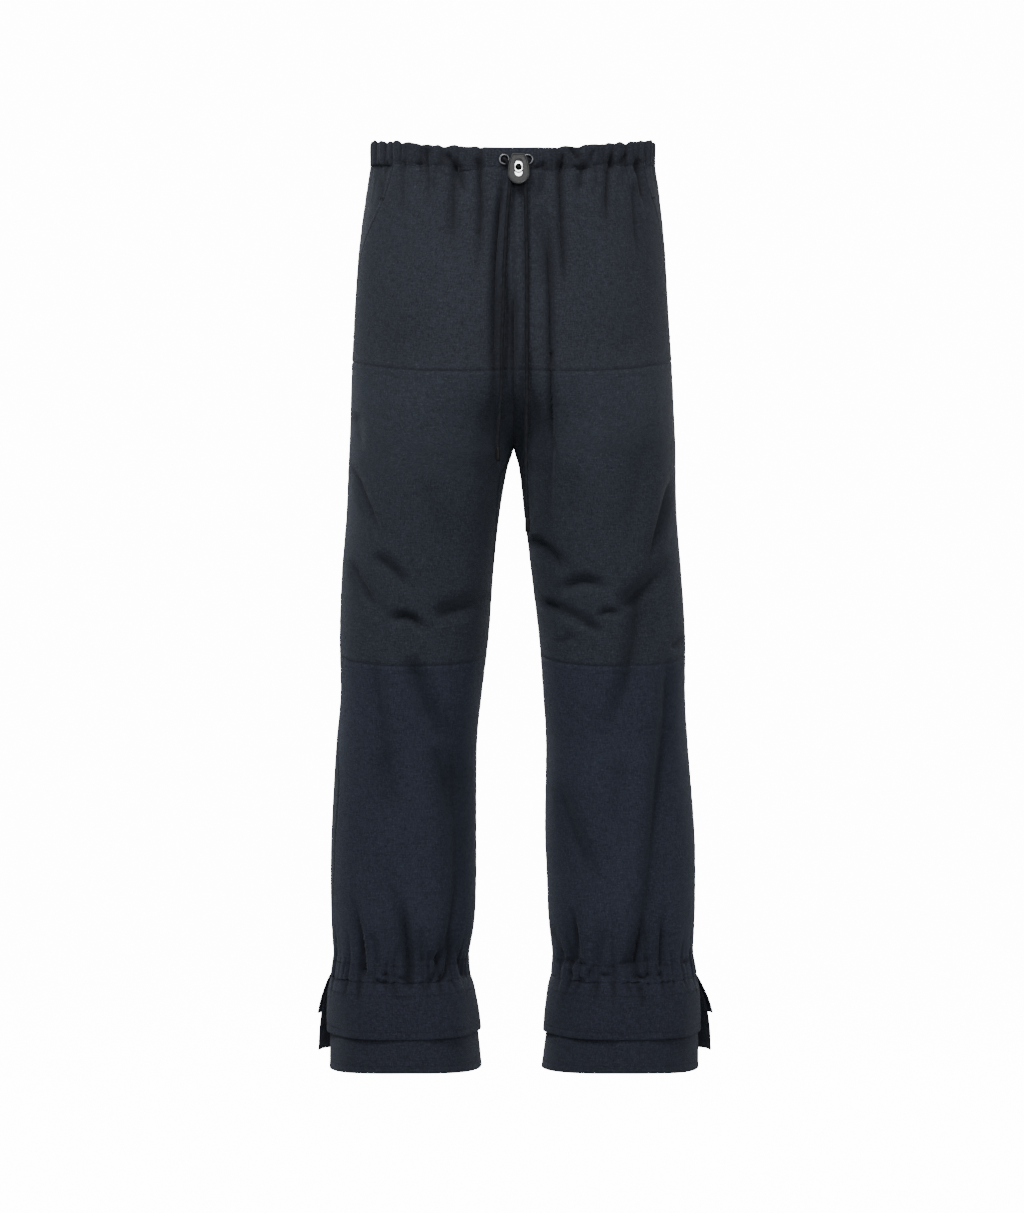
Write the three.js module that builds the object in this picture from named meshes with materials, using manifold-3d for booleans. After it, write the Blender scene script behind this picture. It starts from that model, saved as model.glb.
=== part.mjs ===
// Wool trousers with a drawstring waist, a cord lock, slant pockets and double flounced cuffs,
// filled out as if worn. Millimetres, +Z up, the front faces -Y, +X is the wearer's left.
// The origin is the middle of the waist opening, at the height of its drawstring casing.
import * as THREE from "three";
import { mergeVertices } from "three/addons/utils/BufferGeometryUtils.js";
import Module from "manifold-3d";

const wasm = await Module();
wasm.setup();

// Driving dimensions
const CLOTH = 1.5; // wall of a panel
const FLOUNCE_CLOTH = 1.8; // wall of a cuff flounce, which is a doubled cloth
const SEAM_GAP = 0.3; // between two pieces at a seam
const WAIST_TOP = 17; // top edge of the waist casing at the side seams
const WAIST_LOW = -7; // lower stitching of the waist casing at the side seams
const FRONT_DIP = 20; // how much lower the waist edge is at the centre front
const BACK_LIFT = 6; // how much higher it is at the centre back
const SEAM_SAG = 13; // how much lower the knee seam is in the middle of a front
const FRONT_RISE_TOP = -190; // where the front rise starts to curve under
const BACK_RISE_TOP = -150;
const CROTCH = -322;
const HIP_SEAM = -226; // cross seam of each front, at the side seam
const KNEE_SEAM = -552;
const ANKLE_TOP = -888; // gathered ankle casing
const ANKLE_LOW = -909;
const UPPER_HEM = -971; // hems of the two flounces
const LOWER_HEM = -1007;
const MOUTH_LOW = -205; // lower end of the pocket mouth
const OVAL = 2.25; // exponent of the sections: 2 is an ellipse, more is squarer
const CORD_RADIUS = 2.1;

const LEFT = 1;
const RIGHT = -1;

// One row for each level: the outer and inner edge of the left and right leg as seen from the
// front, and the front and back of the cloth as seen from the side. Above the crotch inner is 0.
const SECTIONS = [
  { z: 30, outLeft: 159, outRight: 160, inLeft: 0, inRight: 0, front: -92, back: 107 },
  { z: 0, outLeft: 158, outRight: 160, inLeft: 0, inRight: 0, front: -94, back: 110 },
  { z: -30, outLeft: 162, outRight: 164, inLeft: 0, inRight: 0, front: -97, back: 115 },
  { z: -96, outLeft: 169, outRight: 173, inLeft: 0, inRight: 0, front: -104, back: 128 },
  { z: -163, outLeft: 173, outRight: 178, inLeft: 0, inRight: 0, front: -110, back: 137 },
  { z: -230, outLeft: 177, outRight: 181, inLeft: 0, inRight: 0, front: -112, back: 140 },
  { z: -297, outLeft: 180, outRight: 183, inLeft: 0, inRight: 0, front: -111, back: 134 },
  { z: -322, outLeft: 181, outRight: 184, inLeft: 0, inRight: 0, front: -110, back: 130 },
  { z: -345, outLeft: 181, outRight: 185, inLeft: 6, inRight: 7, front: -109, back: 125 },
  { z: -398, outLeft: 182, outRight: 187, inLeft: 12, inRight: 16, front: -105, back: 115 },
  { z: -465, outLeft: 187, outRight: 192, inLeft: 20, inRight: 23, front: -98, back: 102 },
  { z: -532, outLeft: 191, outRight: 194, inLeft: 28, inRight: 28, front: -92, back: 92 },
  { z: -599, outLeft: 191, outRight: 193, inLeft: 33, inRight: 36, front: -88, back: 89 },
  { z: -649, outLeft: 194, outRight: 198, inLeft: 36, inRight: 41, front: -84, back: 92 },
  { z: -750, outLeft: 202, outRight: 204, inLeft: 35, inRight: 42, front: -80, back: 97 },
  { z: -800, outLeft: 203, outRight: 205, inLeft: 37, inRight: 42, front: -79, back: 97 },
  { z: -850, outLeft: 202, outRight: 204, inLeft: 39, inRight: 44, front: -79, back: 94 },
  { z: -888, outLeft: 200, outRight: 202, inLeft: 43, inRight: 50, front: -77, back: 88 },
  { z: -912, outLeft: 202, outRight: 203, inLeft: 43, inRight: 50, front: -77, back: 87 },
  { z: -971, outLeft: 205, outRight: 204, inLeft: 37, inRight: 41, front: -84, back: 92 },
  { z: -1010, outLeft: 204, outRight: 203, inLeft: 33, inRight: 38, front: -87, back: 94 },
];

// The slanting mouth of each pocket, in degrees in front of the side seam.
const MOUTH = [
  { z: 0, left: 50, right: 69 },
  { z: -30, left: 47, right: 64 },
  { z: -60, left: 33, right: 53 },
  { z: -85, left: 24, right: 38 },
  { z: -110, left: 17, right: 26 },
  { z: -150, left: 14, right: 17 },
  { z: MOUTH_LOW, left: 13, right: 13 },
];

// How far the side seam and the inseam lie in front of the outline, in degrees round the leg.
const SEAM_TURN = [
  { z: -322, leftSide: 0, rightSide: 0, leftInner: 0, rightInner: 0 },
  { z: -352, leftSide: 0, rightSide: 0, leftInner: 3, rightInner: 24 },
  { z: -430, leftSide: 0, rightSide: 0, leftInner: 4, rightInner: 12 },
  { z: -480, leftSide: 0, rightSide: 0, leftInner: 3, rightInner: 3 },
  { z: -600, leftSide: 2, rightSide: 5, leftInner: 2, rightInner: 2 },
  { z: -700, leftSide: 4, rightSide: 28, leftInner: 2, rightInner: 2 },
  { z: -780, leftSide: 3, rightSide: 24, leftInner: 2, rightInner: 2 },
  { z: -909, leftSide: 0, rightSide: 0, leftInner: 0, rightInner: 0 },
];

// The largest folds of the fronts, as seen from the front: a soft trough along a curve through
// three points [x, z]. One that starts at a gathered edge keeps its depth there.
const FRONT_FOLDS = [
  { from: [-105, -20], via: [-100, -35], to: [-95, -60], depth: 3, halfWidth: 6, gathered: true },
  { from: [-64, -20], via: [-68, -66], to: [-66, -126], depth: 4, halfWidth: 8, gathered: true },
  { from: [-39, -26], via: [-36, -70], to: [-41, -160], depth: 4, halfWidth: 8, gathered: true },
  { from: [-13, -40], via: [-22, -160], to: [-19, -320], depth: 7, halfWidth: 9, gathered: true },
  { from: [34, -60], via: [37, -170], to: [37, -370], depth: 6, halfWidth: 9, gathered: false },
  { from: [50, -26], via: [50, -80], to: [58, -175], depth: 5, halfWidth: 8, gathered: true },
  { from: [76, -22], via: [73, -38], to: [70, -60], depth: 3, halfWidth: 6, gathered: true },
  { from: [105, -16], via: [102, -50], to: [102, -100], depth: 4, halfWidth: 7, gathered: true },
  { from: [134, -12], via: [133, -70], to: [137, -135], depth: 4, halfWidth: 7, gathered: true },
  { from: [-181, -345], via: [-163, -384], to: [-136, -432], depth: 7, halfWidth: 11, gathered: false },
  { from: [-155, -444], via: [-130, -462], to: [-110, -488], depth: 5, halfWidth: 9, gathered: false },
  { from: [-182, -448], via: [-164, -482], to: [-140, -510], depth: 5, halfWidth: 10, gathered: false },
  { from: [-134, -518], via: [-115, -512], to: [-92, -534], depth: 5, halfWidth: 8, gathered: false },
  { from: [-88, -509], via: [-58, -502], to: [-24, -484], depth: 7, halfWidth: 13, gathered: false },
  { from: [-104, -530], via: [-100, -570], to: [-96, -640], depth: 4, halfWidth: 13, gathered: false },
  { from: [16, -428], via: [36, -441], to: [60, -462], depth: 8, halfWidth: 11, gathered: false },
  { from: [46, -486], via: [76, -474], to: [106, -486], depth: 6, halfWidth: 10, gathered: false },
  { from: [112, -497], via: [140, -480], to: [172, -450], depth: 7, halfWidth: 13, gathered: false },
  { from: [178, -356], via: [160, -400], to: [143, -452], depth: 5, halfWidth: 10, gathered: false },
  { from: [26, -492], via: [62, -510], to: [98, -530], depth: 5, halfWidth: 9, gathered: false },
  { from: [130, -500], via: [124, -556], to: [106, -632], depth: 4, halfWidth: 13, gathered: false },
  { from: [129, -886], via: [150, -780], to: [164, -560], depth: 5, halfWidth: 12, gathered: true },
  { from: [64, -886], via: [62, -860], to: [61, -825], depth: 3, halfWidth: 7, gathered: true },
  { from: [162, -886], via: [161, -865], to: [160, -835], depth: 3, halfWidth: 7, gathered: true },
  { from: [-166, -886], via: [-172, -855], to: [-183, -800], depth: 4, halfWidth: 8, gathered: true },
  { from: [-117, -886], via: [-122, -850], to: [-144, -770], depth: 4, halfWidth: 9, gathered: true },
  { from: [-83, -886], via: [-67, -850], to: [-56, -745], depth: 5, halfWidth: 9, gathered: true },
];

// The same for the backs, which fold under the seat and behind the knee.
const BACK_FOLDS = [
  { from: [-120, -10], via: [-117, -60], to: [-122, -120], depth: 4, halfWidth: 8, gathered: true },
  { from: [-72, -6], via: [-70, -70], to: [-74, -150], depth: 5, halfWidth: 8, gathered: true },
  { from: [-30, -4], via: [-33, -50], to: [-31, -110], depth: 4, halfWidth: 8, gathered: true },
  { from: [30, -4], via: [28, -60], to: [32, -130], depth: 4, halfWidth: 8, gathered: true },
  { from: [74, -6], via: [77, -60], to: [74, -140], depth: 5, halfWidth: 8, gathered: true },
  { from: [122, -10], via: [118, -50], to: [121, -100], depth: 4, halfWidth: 8, gathered: true },
  { from: [-22, -300], via: [-62, -352], to: [-120, -384], depth: 7, halfWidth: 13, gathered: false },
  { from: [24, -304], via: [66, -350], to: [124, -378], depth: 7, halfWidth: 13, gathered: false },
  { from: [-170, -470], via: [-110, -520], to: [-46, -508], depth: 7, halfWidth: 14, gathered: false },
  { from: [-165, -560], via: [-112, -566], to: [-52, -590], depth: 6, halfWidth: 13, gathered: false },
  { from: [168, -480], via: [108, -514], to: [44, -500], depth: 7, halfWidth: 14, gathered: false },
  { from: [166, -590], via: [114, -564], to: [50, -570], depth: 6, halfWidth: 13, gathered: false },
  { from: [-150, -886], via: [-144, -850], to: [-152, -770], depth: 5, halfWidth: 9, gathered: true },
  { from: [-90, -886], via: [-96, -840], to: [-88, -730], depth: 5, halfWidth: 10, gathered: true },
  { from: [86, -886], via: [92, -846], to: [84, -740], depth: 5, halfWidth: 10, gathered: true },
  { from: [150, -886], via: [143, -850], to: [150, -780], depth: 5, halfWidth: 9, gathered: true },
];

// Gathers: waves round half the waist or round one ankle, with their height.
const WAIST_GATHERS = { front: 10, back: 11, height: 1.7, scallop: 1.1, flatFront: 34, drift: 0.016, uneven: 0.35 };
const ANKLE_GATHERS = { waves: 17, height: 1.5 };

// Triangle budget: columns across a panel and level steps down it
const COLUMNS = { hip: 18, thigh: 14, shin: 13, back: 13, casing: 78, ankle: 60, flounce: 33 };
const LEVEL_STEP = { hip: 26, thigh: 25, shin: 34 };

const COLOURS = { cloth: 0x20252f, trim: 0x111216, cordLock: 0x3a3b3d, chrome: 0xc9cbce, tip: 0x0c0c0e };

const smooth = (t) => {
  const s = Math.min(1, Math.max(0, t));
  return s * s * (3 - 2 * s);
};
const lerp = (a, b, t) => a + (b - a) * t;

// A value of a table with a z column, on a smooth curve through its rows.
function tableValue(table, z, key) {
  let i = 0;
  while (i < table.length - 2 && table[i + 1].z > z) i++;
  const slope = (k) => {
    const above = table[Math.max(0, k - 1)];
    const below = table[Math.min(table.length - 1, k + 1)];
    return (below[key] - above[key]) / (below.z - above.z);
  };
  const a = table[i];
  const b = table[i + 1];
  const span = b.z - a.z;
  const t = Math.min(1, Math.max(0, (z - a.z) / span));
  const t2 = t * t;
  const t3 = t2 * t;
  return (
    (2 * t3 - 3 * t2 + 1) * a[key] +
    (t3 - 2 * t2 + t) * span * slope(i) +
    (3 * t2 - 2 * t3) * b[key] +
    (t3 - t2) * span * slope(i + 1)
  );
}

// A point of an oval with the given half sizes: 0 degrees is its side, 90 its front or back.
function ovalPoint(degrees, halfWidth, halfDepth) {
  const c = Math.cos(THREE.MathUtils.degToRad(degrees));
  const s = Math.sin(THREE.MathUtils.degToRad(degrees));
  const power = 2 / OVAL;
  return [
    halfWidth * Math.sign(c) * Math.abs(c) ** power,
    halfDepth * Math.max(0, s) ** power,
  ];
}

// How far down the curve of the rise a level is: 0 above it, 1 at the crotch and below.
function riseDrop(isFront, z) {
  const top = isFront ? FRONT_RISE_TOP : BACK_RISE_TOP;
  return Math.min(1, Math.max(0, (top - z) / (top - CROTCH)));
}

// How much lower a course of the cloth hangs at this place than at the side seam.
function courseDip(isFront, share, z) {
  const towardsMiddle = (1 - Math.cos(Math.PI * share)) / 2;
  const pelvis = smooth((z - CROTCH) / 110);
  if (!isFront) return -BACK_LIFT * towardsMiddle * pelvis;
  const leg = SEAM_SAG * smooth((-120 - z) / 250) * smooth((z - ANKLE_TOP) / 350);
  return FRONT_DIP * towardsMiddle * pelvis + leg * Math.sin(Math.PI * share);
}

// The smooth form of one side of the trousers, without folds. Angle 0 is the outline at the
// outer side, 90 the front, 180 the inner side or the centre seams, 270 the back.
function basePoint(side, angle, z) {
  const turned = ((angle % 360) + 360) % 360;
  const isFront = turned <= 180;
  const share = (isFront ? turned : 360 - turned) / 180;
  const outer = tableValue(SECTIONS, z, side > 0 ? "outLeft" : "outRight");
  const inner = z >= CROTCH ? 0 : Math.max(0, tableValue(SECTIONS, z, side > 0 ? "inLeft" : "inRight"));
  const front = tableValue(SECTIONS, z, "front");
  const back = tableValue(SECTIONS, z, "back");
  const middle = (front + back) / 2;
  const depth = (back - front) / 2;
  const legMiddle = (outer + inner) / 2;
  const legWidth = (outer - inner) / 2;
  const drop = riseDrop(isFront, z);
  let [x, y] = ovalPoint(share * 180, legWidth, depth);
  x += legMiddle;
  if (drop < 1) {
    const lastSine = Math.sqrt(1 - drop * drop);
    const lastAngle = 180 - THREE.MathUtils.radToDeg(Math.asin(lastSine ** (OVAL / 2)));
    const leg = (s) => ovalPoint(s * lastAngle, legWidth, depth);
    const pelvis = ovalPoint(share * 90, outer, depth);
    const blend = smooth(drop);
    const atSeam = lerp(0, leg(1)[0] + legMiddle, blend);
    x = lerp(pelvis[0], leg(share)[0] + legMiddle, blend) - atSeam * share ** 6;
    y = lerp(pelvis[1], leg(share)[1], blend);
  }
  const dip = courseDip(isFront, share, z);
  return new THREE.Vector3(side * x, middle + (isFront ? -y : y), z - dip);
}

// The outward normal of the smooth form. Over the rise it is taken from one side of a seam only.
function baseNormal(side, angle, z) {
  const turned = ((angle % 360) + 360) % 360;
  const overRise = riseDrop(turned <= 180, z) < 1;
  const low = overRise && turned > 180 && turned < 181 ? 180.01 : turned - 1;
  const high = overRise && turned <= 180 && turned > 179 ? 180 : turned + 1;
  const round = basePoint(side, high, z).sub(basePoint(side, low, z));
  const down = basePoint(side, turned, z - 1.5).sub(basePoint(side, turned, z + 1.5));
  return round.cross(down).multiplyScalar(side).normalize();
}

// How deep the folds of a table press the cloth in at a place seen from the front or the back.
function foldDepth(folds, x, z) {
  let total = 0;
  for (const fold of folds) {
    const steps = 8;
    let nearest = Infinity;
    let along = 0;
    for (let i = 0; i <= steps; i++) {
      const t = i / steps;
      const [a, b, c] = [(1 - t) * (1 - 2 * t), 4 * t * (1 - t), t * (2 * t - 1)];
      const dx = x - (a * fold.from[0] + b * fold.via[0] + c * fold.to[0]);
      const dz = z - (a * fold.from[1] + b * fold.via[1] + c * fold.to[1]);
      const far = Math.hypot(dx, dz);
      if (far < nearest) {
        nearest = far;
        along = t;
      }
    }
    if (nearest > 3 * fold.halfWidth) continue;
    const start = fold.gathered ? 1 : smooth(0.15 + along / 0.3);
    const end = smooth(0.1 + (1 - along) / 0.5);
    const r = (nearest / fold.halfWidth) ** 2;
    total += fold.depth * start * end * (1 - 0.35 * r) * Math.exp(-r);
  }
  return total;
}

// A point of the cloth's outer face with its folds, moved out by `out`.
function clothPoint(side, angle, z, out = 0) {
  const point = basePoint(side, angle, z);
  const turned = ((angle % 360) + 360) % 360;
  const isFront = turned <= 180;
  const share = (isFront ? turned : 360 - turned) / 180;
  const fromOuter = smooth(share / 0.1);
  const fromInner = smooth((1 - share) / 0.1);
  const fade = fromOuter * lerp(1, fromInner, smooth(riseDrop(isFront, z)));
  const sink = foldDepth(isFront ? FRONT_FOLDS : BACK_FOLDS, point.x, point.z) * fade;
  return point.addScaledVector(baseNormal(side, angle, z), out - sink);
}

// Keeps a point on its own side of the centre seams, and of the seam under the crotch.
function keepClear(point, side, isFront, z) {
  if (z < CROTCH - 0.5) return point;
  const half = SEAM_GAP / 2;
  point.x = side * Math.max(half, side * point.x);
  const middle = (tableValue(SECTIONS, z, "front") + tableValue(SECTIONS, z, "back")) / 2;
  if (riseDrop(isFront, z) > 0.8)
    point.y = isFront ? Math.min(middle - half, point.y) : Math.max(middle + half, point.y);
  return point;
}

function indexedGeometry(points, index) {
  const geometry = new THREE.BufferGeometry();
  geometry.setAttribute("position", new THREE.Float32BufferAttribute(points.flatMap((p) => p.toArray()), 3));
  geometry.setIndex(index);
  return geometry;
}

// The closed wall between two grids of points with the same rows and columns.
function wallGeometry(outer, inner, facesOut) {
  const rows = outer.length;
  const columns = outer[0].length;
  const at = (layer, r, c) => layer * rows * columns + r * columns + c;
  const place = [...outer.flat(), ...inner.flat()];
  const index = [];
  const triangle = (a, b, c) => (facesOut ? index.push(a, b, c) : index.push(a, c, b));
  const quad = (a, b, c, d) => {
    const alongFirst = place[a].distanceTo(place[c]) <= place[b].distanceTo(place[d]);
    triangle(a, b, alongFirst ? c : d);
    triangle(alongFirst ? a : b, c, d);
  };
  for (let r = 0; r < rows - 1; r++)
    for (let c = 0; c < columns - 1; c++) {
      quad(at(0, r, c), at(0, r + 1, c), at(0, r + 1, c + 1), at(0, r, c + 1));
      quad(at(1, r, c), at(1, r, c + 1), at(1, r + 1, c + 1), at(1, r + 1, c));
    }
  for (let c = 0; c < columns - 1; c++) {
    quad(at(0, 0, c), at(0, 0, c + 1), at(1, 0, c + 1), at(1, 0, c));
    quad(at(0, rows - 1, c), at(1, rows - 1, c), at(1, rows - 1, c + 1), at(0, rows - 1, c + 1));
  }
  for (let r = 0; r < rows - 1; r++) {
    quad(at(0, r, 0), at(1, r, 0), at(1, r + 1, 0), at(0, r + 1, 0));
    quad(at(0, r, columns - 1), at(0, r + 1, columns - 1), at(1, r + 1, columns - 1), at(1, r, columns - 1));
  }
  return indexedGeometry(place, index);
}

// Levels from one seam to the next, closer together where the rise turns under the crotch.
function levels(top, low, step) {
  const count = Math.max(1, Math.round((top - low) / step));
  const list = Array.from({ length: count + 1 }, (_, i) => lerp(top, low, i / count));
  if (top > CROTCH && low < CROTCH) {
    const near = [24, 12, 4, 0].map((up) => CROTCH + up);
    return [...list.filter((z) => Math.abs(z - CROTCH - 12) > 19), ...near].sort((a, b) => b - a);
  }
  return list;
}

// Degrees that half a seam gap takes up at a place.
function gapDegrees(side, angle, z) {
  const perDegree = basePoint(side, angle + 0.5, z).distanceTo(basePoint(side, angle - 0.5, z));
  return SEAM_GAP / 2 / Math.max(0.4, perDegree);
}

// A panel of cloth between two seams, given as angles that may change with the level.
function panelGeometry(side, isFront, zs, columns, angleFrom, angleTo, sunk = () => 0) {
  const grid = (out) =>
    zs.map((z) => {
      const first = angleFrom(z) + gapDegrees(side, angleFrom(z), z);
      const last = angleTo(z) - gapDegrees(side, angleTo(z), z);
      const closed = z >= CROTCH && Math.abs((isFront ? last : first) - 180) < 1;
      const from = closed && !isFront ? 180.01 : first;
      const to = closed && isFront ? 180 : last;
      return Array.from({ length: columns + 1 }, (_, c) => {
        const share = c / columns;
        const point = clothPoint(side, lerp(from, to, share), z, out - sunk(share));
        return keepClear(point, side, isFront, z);
      });
    });
  return wallGeometry(grid(0), grid(-CLOTH), side < 0);
}

// How far a seam is turned: a straight line from row to row, and nothing above the crotch.
function seamTurn(z, key) {
  const below = SEAM_TURN.findIndex((row) => row.z <= z);
  if (below === 0) return 0;
  if (below < 0) return SEAM_TURN[SEAM_TURN.length - 1][key];
  const [a, b] = [SEAM_TURN[below - 1], SEAM_TURN[below]];
  return lerp(a[key], b[key], smooth((a.z - z) / (a.z - b.z)));
}
const seamSide = (side) => (z) => seamTurn(z, side > 0 ? "leftSide" : "rightSide");
const seamInner = (side) => (z) => 180 - seamTurn(z, side > 0 ? "leftInner" : "rightInner");

// Where the slanting pocket mouth cuts a front.
const mouthAngle = (side) => (z) => tableValue(MOUTH, z, side > 0 ? "left" : "right");

const half = SEAM_GAP / 2;
const hipLevels = [
  ...levels(WAIST_LOW - half, MOUTH_LOW + 0.4, LEVEL_STEP.hip),
  ...levels(MOUTH_LOW - 0.3, HIP_SEAM + half, LEVEL_STEP.hip),
];
const thighLevels = levels(HIP_SEAM - half, KNEE_SEAM + half, LEVEL_STEP.thigh);
const shinLevels = levels(KNEE_SEAM - half, ANKLE_TOP + half, LEVEL_STEP.shin);
const backLevels = [...hipLevels, ...thighLevels.slice(1), ...shinLevels.slice(1)];

const hipGeometry = (side) =>
  panelGeometry(side, true, hipLevels, COLUMNS.hip, (z) => (z > MOUTH_LOW ? mouthAngle(side)(z) : 0), () => 180);
const thighGeometry = (side) =>
  panelGeometry(side, true, thighLevels, COLUMNS.thigh, seamSide(side), seamInner(side));
const shinGeometry = (side) =>
  panelGeometry(side, true, shinLevels, COLUMNS.shin, seamSide(side), seamInner(side));
const backGeometry = (side) =>
  panelGeometry(side, false, backLevels, COLUMNS.back, seamInner(side), (z) => 360 + seamSide(side)(z));

// The pocket facing runs from the side seam to under the mouth's edge, one cloth further in.
function facingGeometry(side) {
  const lap = 14;
  const under = CLOTH + 0.5;
  const zs = levels(WAIST_LOW - half, MOUTH_LOW + 1.2, 26);
  const sunk = (share) => under * smooth(share / 0.45);
  return panelGeometry(side, true, zs, 4, () => 0, (z) => mouthAngle(side)(z) + lap, sunk);
}

// The closed band between two ends, made of one loop of section points for each column.
function bandGeometry(loops, closedRound, facesOut) {
  const count = loops.length;
  const points = loops[0].length;
  const index = [];
  const triangle = (a, b, c) => (facesOut ? index.push(a, b, c) : index.push(a, c, b));
  const last = closedRound ? count : count - 1;
  for (let i = 0; i < last; i++)
    for (let j = 0; j < points; j++) {
      const [a, b] = [i * points + j, i * points + ((j + 1) % points)];
      const next = ((i + 1) % count) * points;
      const [c, d] = [next + ((j + 1) % points), next + j];
      triangle(a, b, c);
      triangle(a, c, d);
    }
  if (!closedRound)
    for (let j = 1; j < points - 1; j++) {
      triangle(0, j + 1, j);
      const end = (count - 1) * points;
      triangle(end, end + j, end + j + 1);
    }
  return indexedGeometry(loops.flat(), index);
}

// Section of the waist casing: how far out, and how far up from its lower edge to its top.
const WAIST_SECTION = [
  { out: 0.7, up: 0, wave: 0.5 },
  { out: 1.6, up: 0.45, wave: 1 },
  { out: 0.9, up: 0.92, wave: 0.7 },
  { out: -1.6, up: 1, wave: 0.3 },
  { out: -3, up: 0.7, wave: 0.2 },
  { out: -2.8, up: 0, wave: 0.2 },
];

// Half of the waist casing, from the centre front round the side to the centre back.
function waistCasingGeometry(side) {
  const { front, back, height, scallop, flatFront, drift, uneven } = WAIST_GATHERS;
  const loops = [];
  for (let i = 0; i <= COLUMNS.casing; i++) {
    const round = i / COLUMNS.casing;
    const isFront = round <= 0.5;
    const share = isFront ? 1 - 2 * round : 2 * round - 1;
    const angle = isFront ? 180 * share : 360 - Math.min(179.99, 180 * share);
    const waves = isFront ? front : back;
    const phase = share + drift * Math.sin(11 * share + side);
    const wave = Math.cos(2 * Math.PI * waves * phase) + uneven * Math.cos(17 * share + 2 * side);
    const across = Math.abs(basePoint(side, angle, 0).x);
    const calm = isFront ? smooth((across - flatFront) / 25) : 1;
    loops.push(
      WAIST_SECTION.map(({ out, up, wave: part }) => {
        const z = lerp(WAIST_LOW + half, WAIST_TOP, up);
        const point = clothPoint(side, angle, z, out + height * part * wave * calm);
        point.z += scallop * up * wave * calm;
        return keepClear(point, side, isFront, z);
      }),
    );
  }
  return bandGeometry(loops, false, side < 0);
}

// Section of the ankle casing, which an elastic draws in.
const ANKLE_SECTION = [
  { out: -0.1, up: 0, wave: 0.3 },
  { out: 1.3, up: 0.5, wave: 1 },
  { out: -0.1, up: 1, wave: 0.3 },
  { out: -2.4, up: 1, wave: 0.2 },
  { out: -3, up: 0.5, wave: 0.2 },
  { out: -2.4, up: 0, wave: 0.2 },
];

function ankleCasingGeometry(side) {
  const loops = [];
  for (let i = 0; i < COLUMNS.ankle; i++) {
    const angle = (360 * i) / COLUMNS.ankle;
    const round = i / COLUMNS.ankle;
    const wave = Math.cos(2 * Math.PI * (ANKLE_GATHERS.waves * round + 0.1 * Math.sin(9 * round * side)));
    loops.push(
      ANKLE_SECTION.map(({ out, up, wave: part }) =>
        clothPoint(side, -angle, lerp(ANKLE_LOW + half, ANKLE_TOP - half, up), out + ANKLE_GATHERS.height * part * wave),
      ),
    );
  }
  return bandGeometry(loops, true, side < 0);
}

// A cuff flounce hangs from the ankle casing and is open at the outer side, where its back edge
// stands out. The rows say how far out of the smooth form each level hangs.
const FLOUNCES = {
  upper: [
    { z: ANKLE_LOW - half, out: 0.2, flare: 0 },
    { z: -925, out: 1.6, flare: 6 },
    { z: -948, out: 2.3, flare: 12 },
    { z: UPPER_HEM, out: 2.6, flare: 17 },
  ],
  lower: [
    { z: ANKLE_LOW - 3, out: -2.6, flare: 0 },
    { z: -935, out: -1.4, flare: 8 },
    { z: UPPER_HEM, out: -0.2, flare: 15.5 },
    { z: LOWER_HEM, out: 1.6, flare: 18 },
  ],
};
const SLIT = { front: 4, back: 352, flareFrom: 285 }; // degrees round the leg

function flounceGeometry(side, rows) {
  const grid = (inwards) =>
    rows.map(({ z, out, flare }) =>
      Array.from({ length: COLUMNS.flounce + 1 }, (_, c) => {
        const angle = lerp(SLIT.front, SLIT.back, c / COLUMNS.flounce);
        const share = (angle - SLIT.flareFrom) / (SLIT.back - SLIT.flareFrom);
        const stand = flare * smooth(share);
        const hang = smooth((ANKLE_LOW - z) / 60);
        const wave = 1.2 * hang * Math.cos(THREE.MathUtils.degToRad(5 * angle + 40 * side));
        return clothPoint(side, angle, z, out + stand + wave - inwards);
      }),
    );
  return wallGeometry(grid(0), grid(FLOUNCE_CLOTH), side < 0);
}

// Booleans: a geometry as a solid, and a solid as a geometry.
function solidOf(geometry) {
  const bare = new THREE.BufferGeometry();
  const source = geometry.index ? geometry.toNonIndexed() : geometry;
  bare.setAttribute("position", source.getAttribute("position").clone());
  const merged = mergeVertices(bare, 1e-4);
  return new wasm.Manifold(
    new wasm.Mesh({
      numProp: 3,
      vertProperties: new Float32Array(merged.attributes.position.array),
      triVerts: new Uint32Array(merged.index.array),
    }),
  );
}
function geometryOf(solid) {
  const mesh = solid.getMesh();
  const geometry = new THREE.BufferGeometry();
  geometry.setAttribute("position", new THREE.Float32BufferAttribute(mesh.vertProperties, 3));
  geometry.setIndex(new THREE.Uint32BufferAttribute(mesh.triVerts, 1));
  return geometry;
}
const cut = (geometry, ...tools) =>
  geometryOf(tools.reduce((solid, tool) => solid.subtract(solidOf(tool)), solidOf(geometry)));

// Eyelets in the casing, either side of the centre front. Their faces look to the front.
const EYELETS = { [LEFT]: 15.2, [RIGHT]: -10.3 };
const EYELET = { z: -16.4, hole: 3.9, barrel: 4.4, flange: 5.9, depth: 2.2, lip: 0.9 };
const CASING_FRONT = clothPoint(LEFT, 175, WAIST_LOW, WAIST_SECTION[1].out).y;
const EYELET_FACE = CASING_FRONT - SEAM_GAP;

// A profile of radius and depth, from the front to the back, turned about an axis along Y.
function turned(profile, x, y, z, segments) {
  const points = profile.map(([radius, depth]) => new THREE.Vector2(radius, depth));
  return new THREE.LatheGeometry(points, segments).translate(x, y, z);
}
const discProfile = (radius, front, back) => [[0, front], [radius, front], [radius, back], [0, back]];

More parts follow.
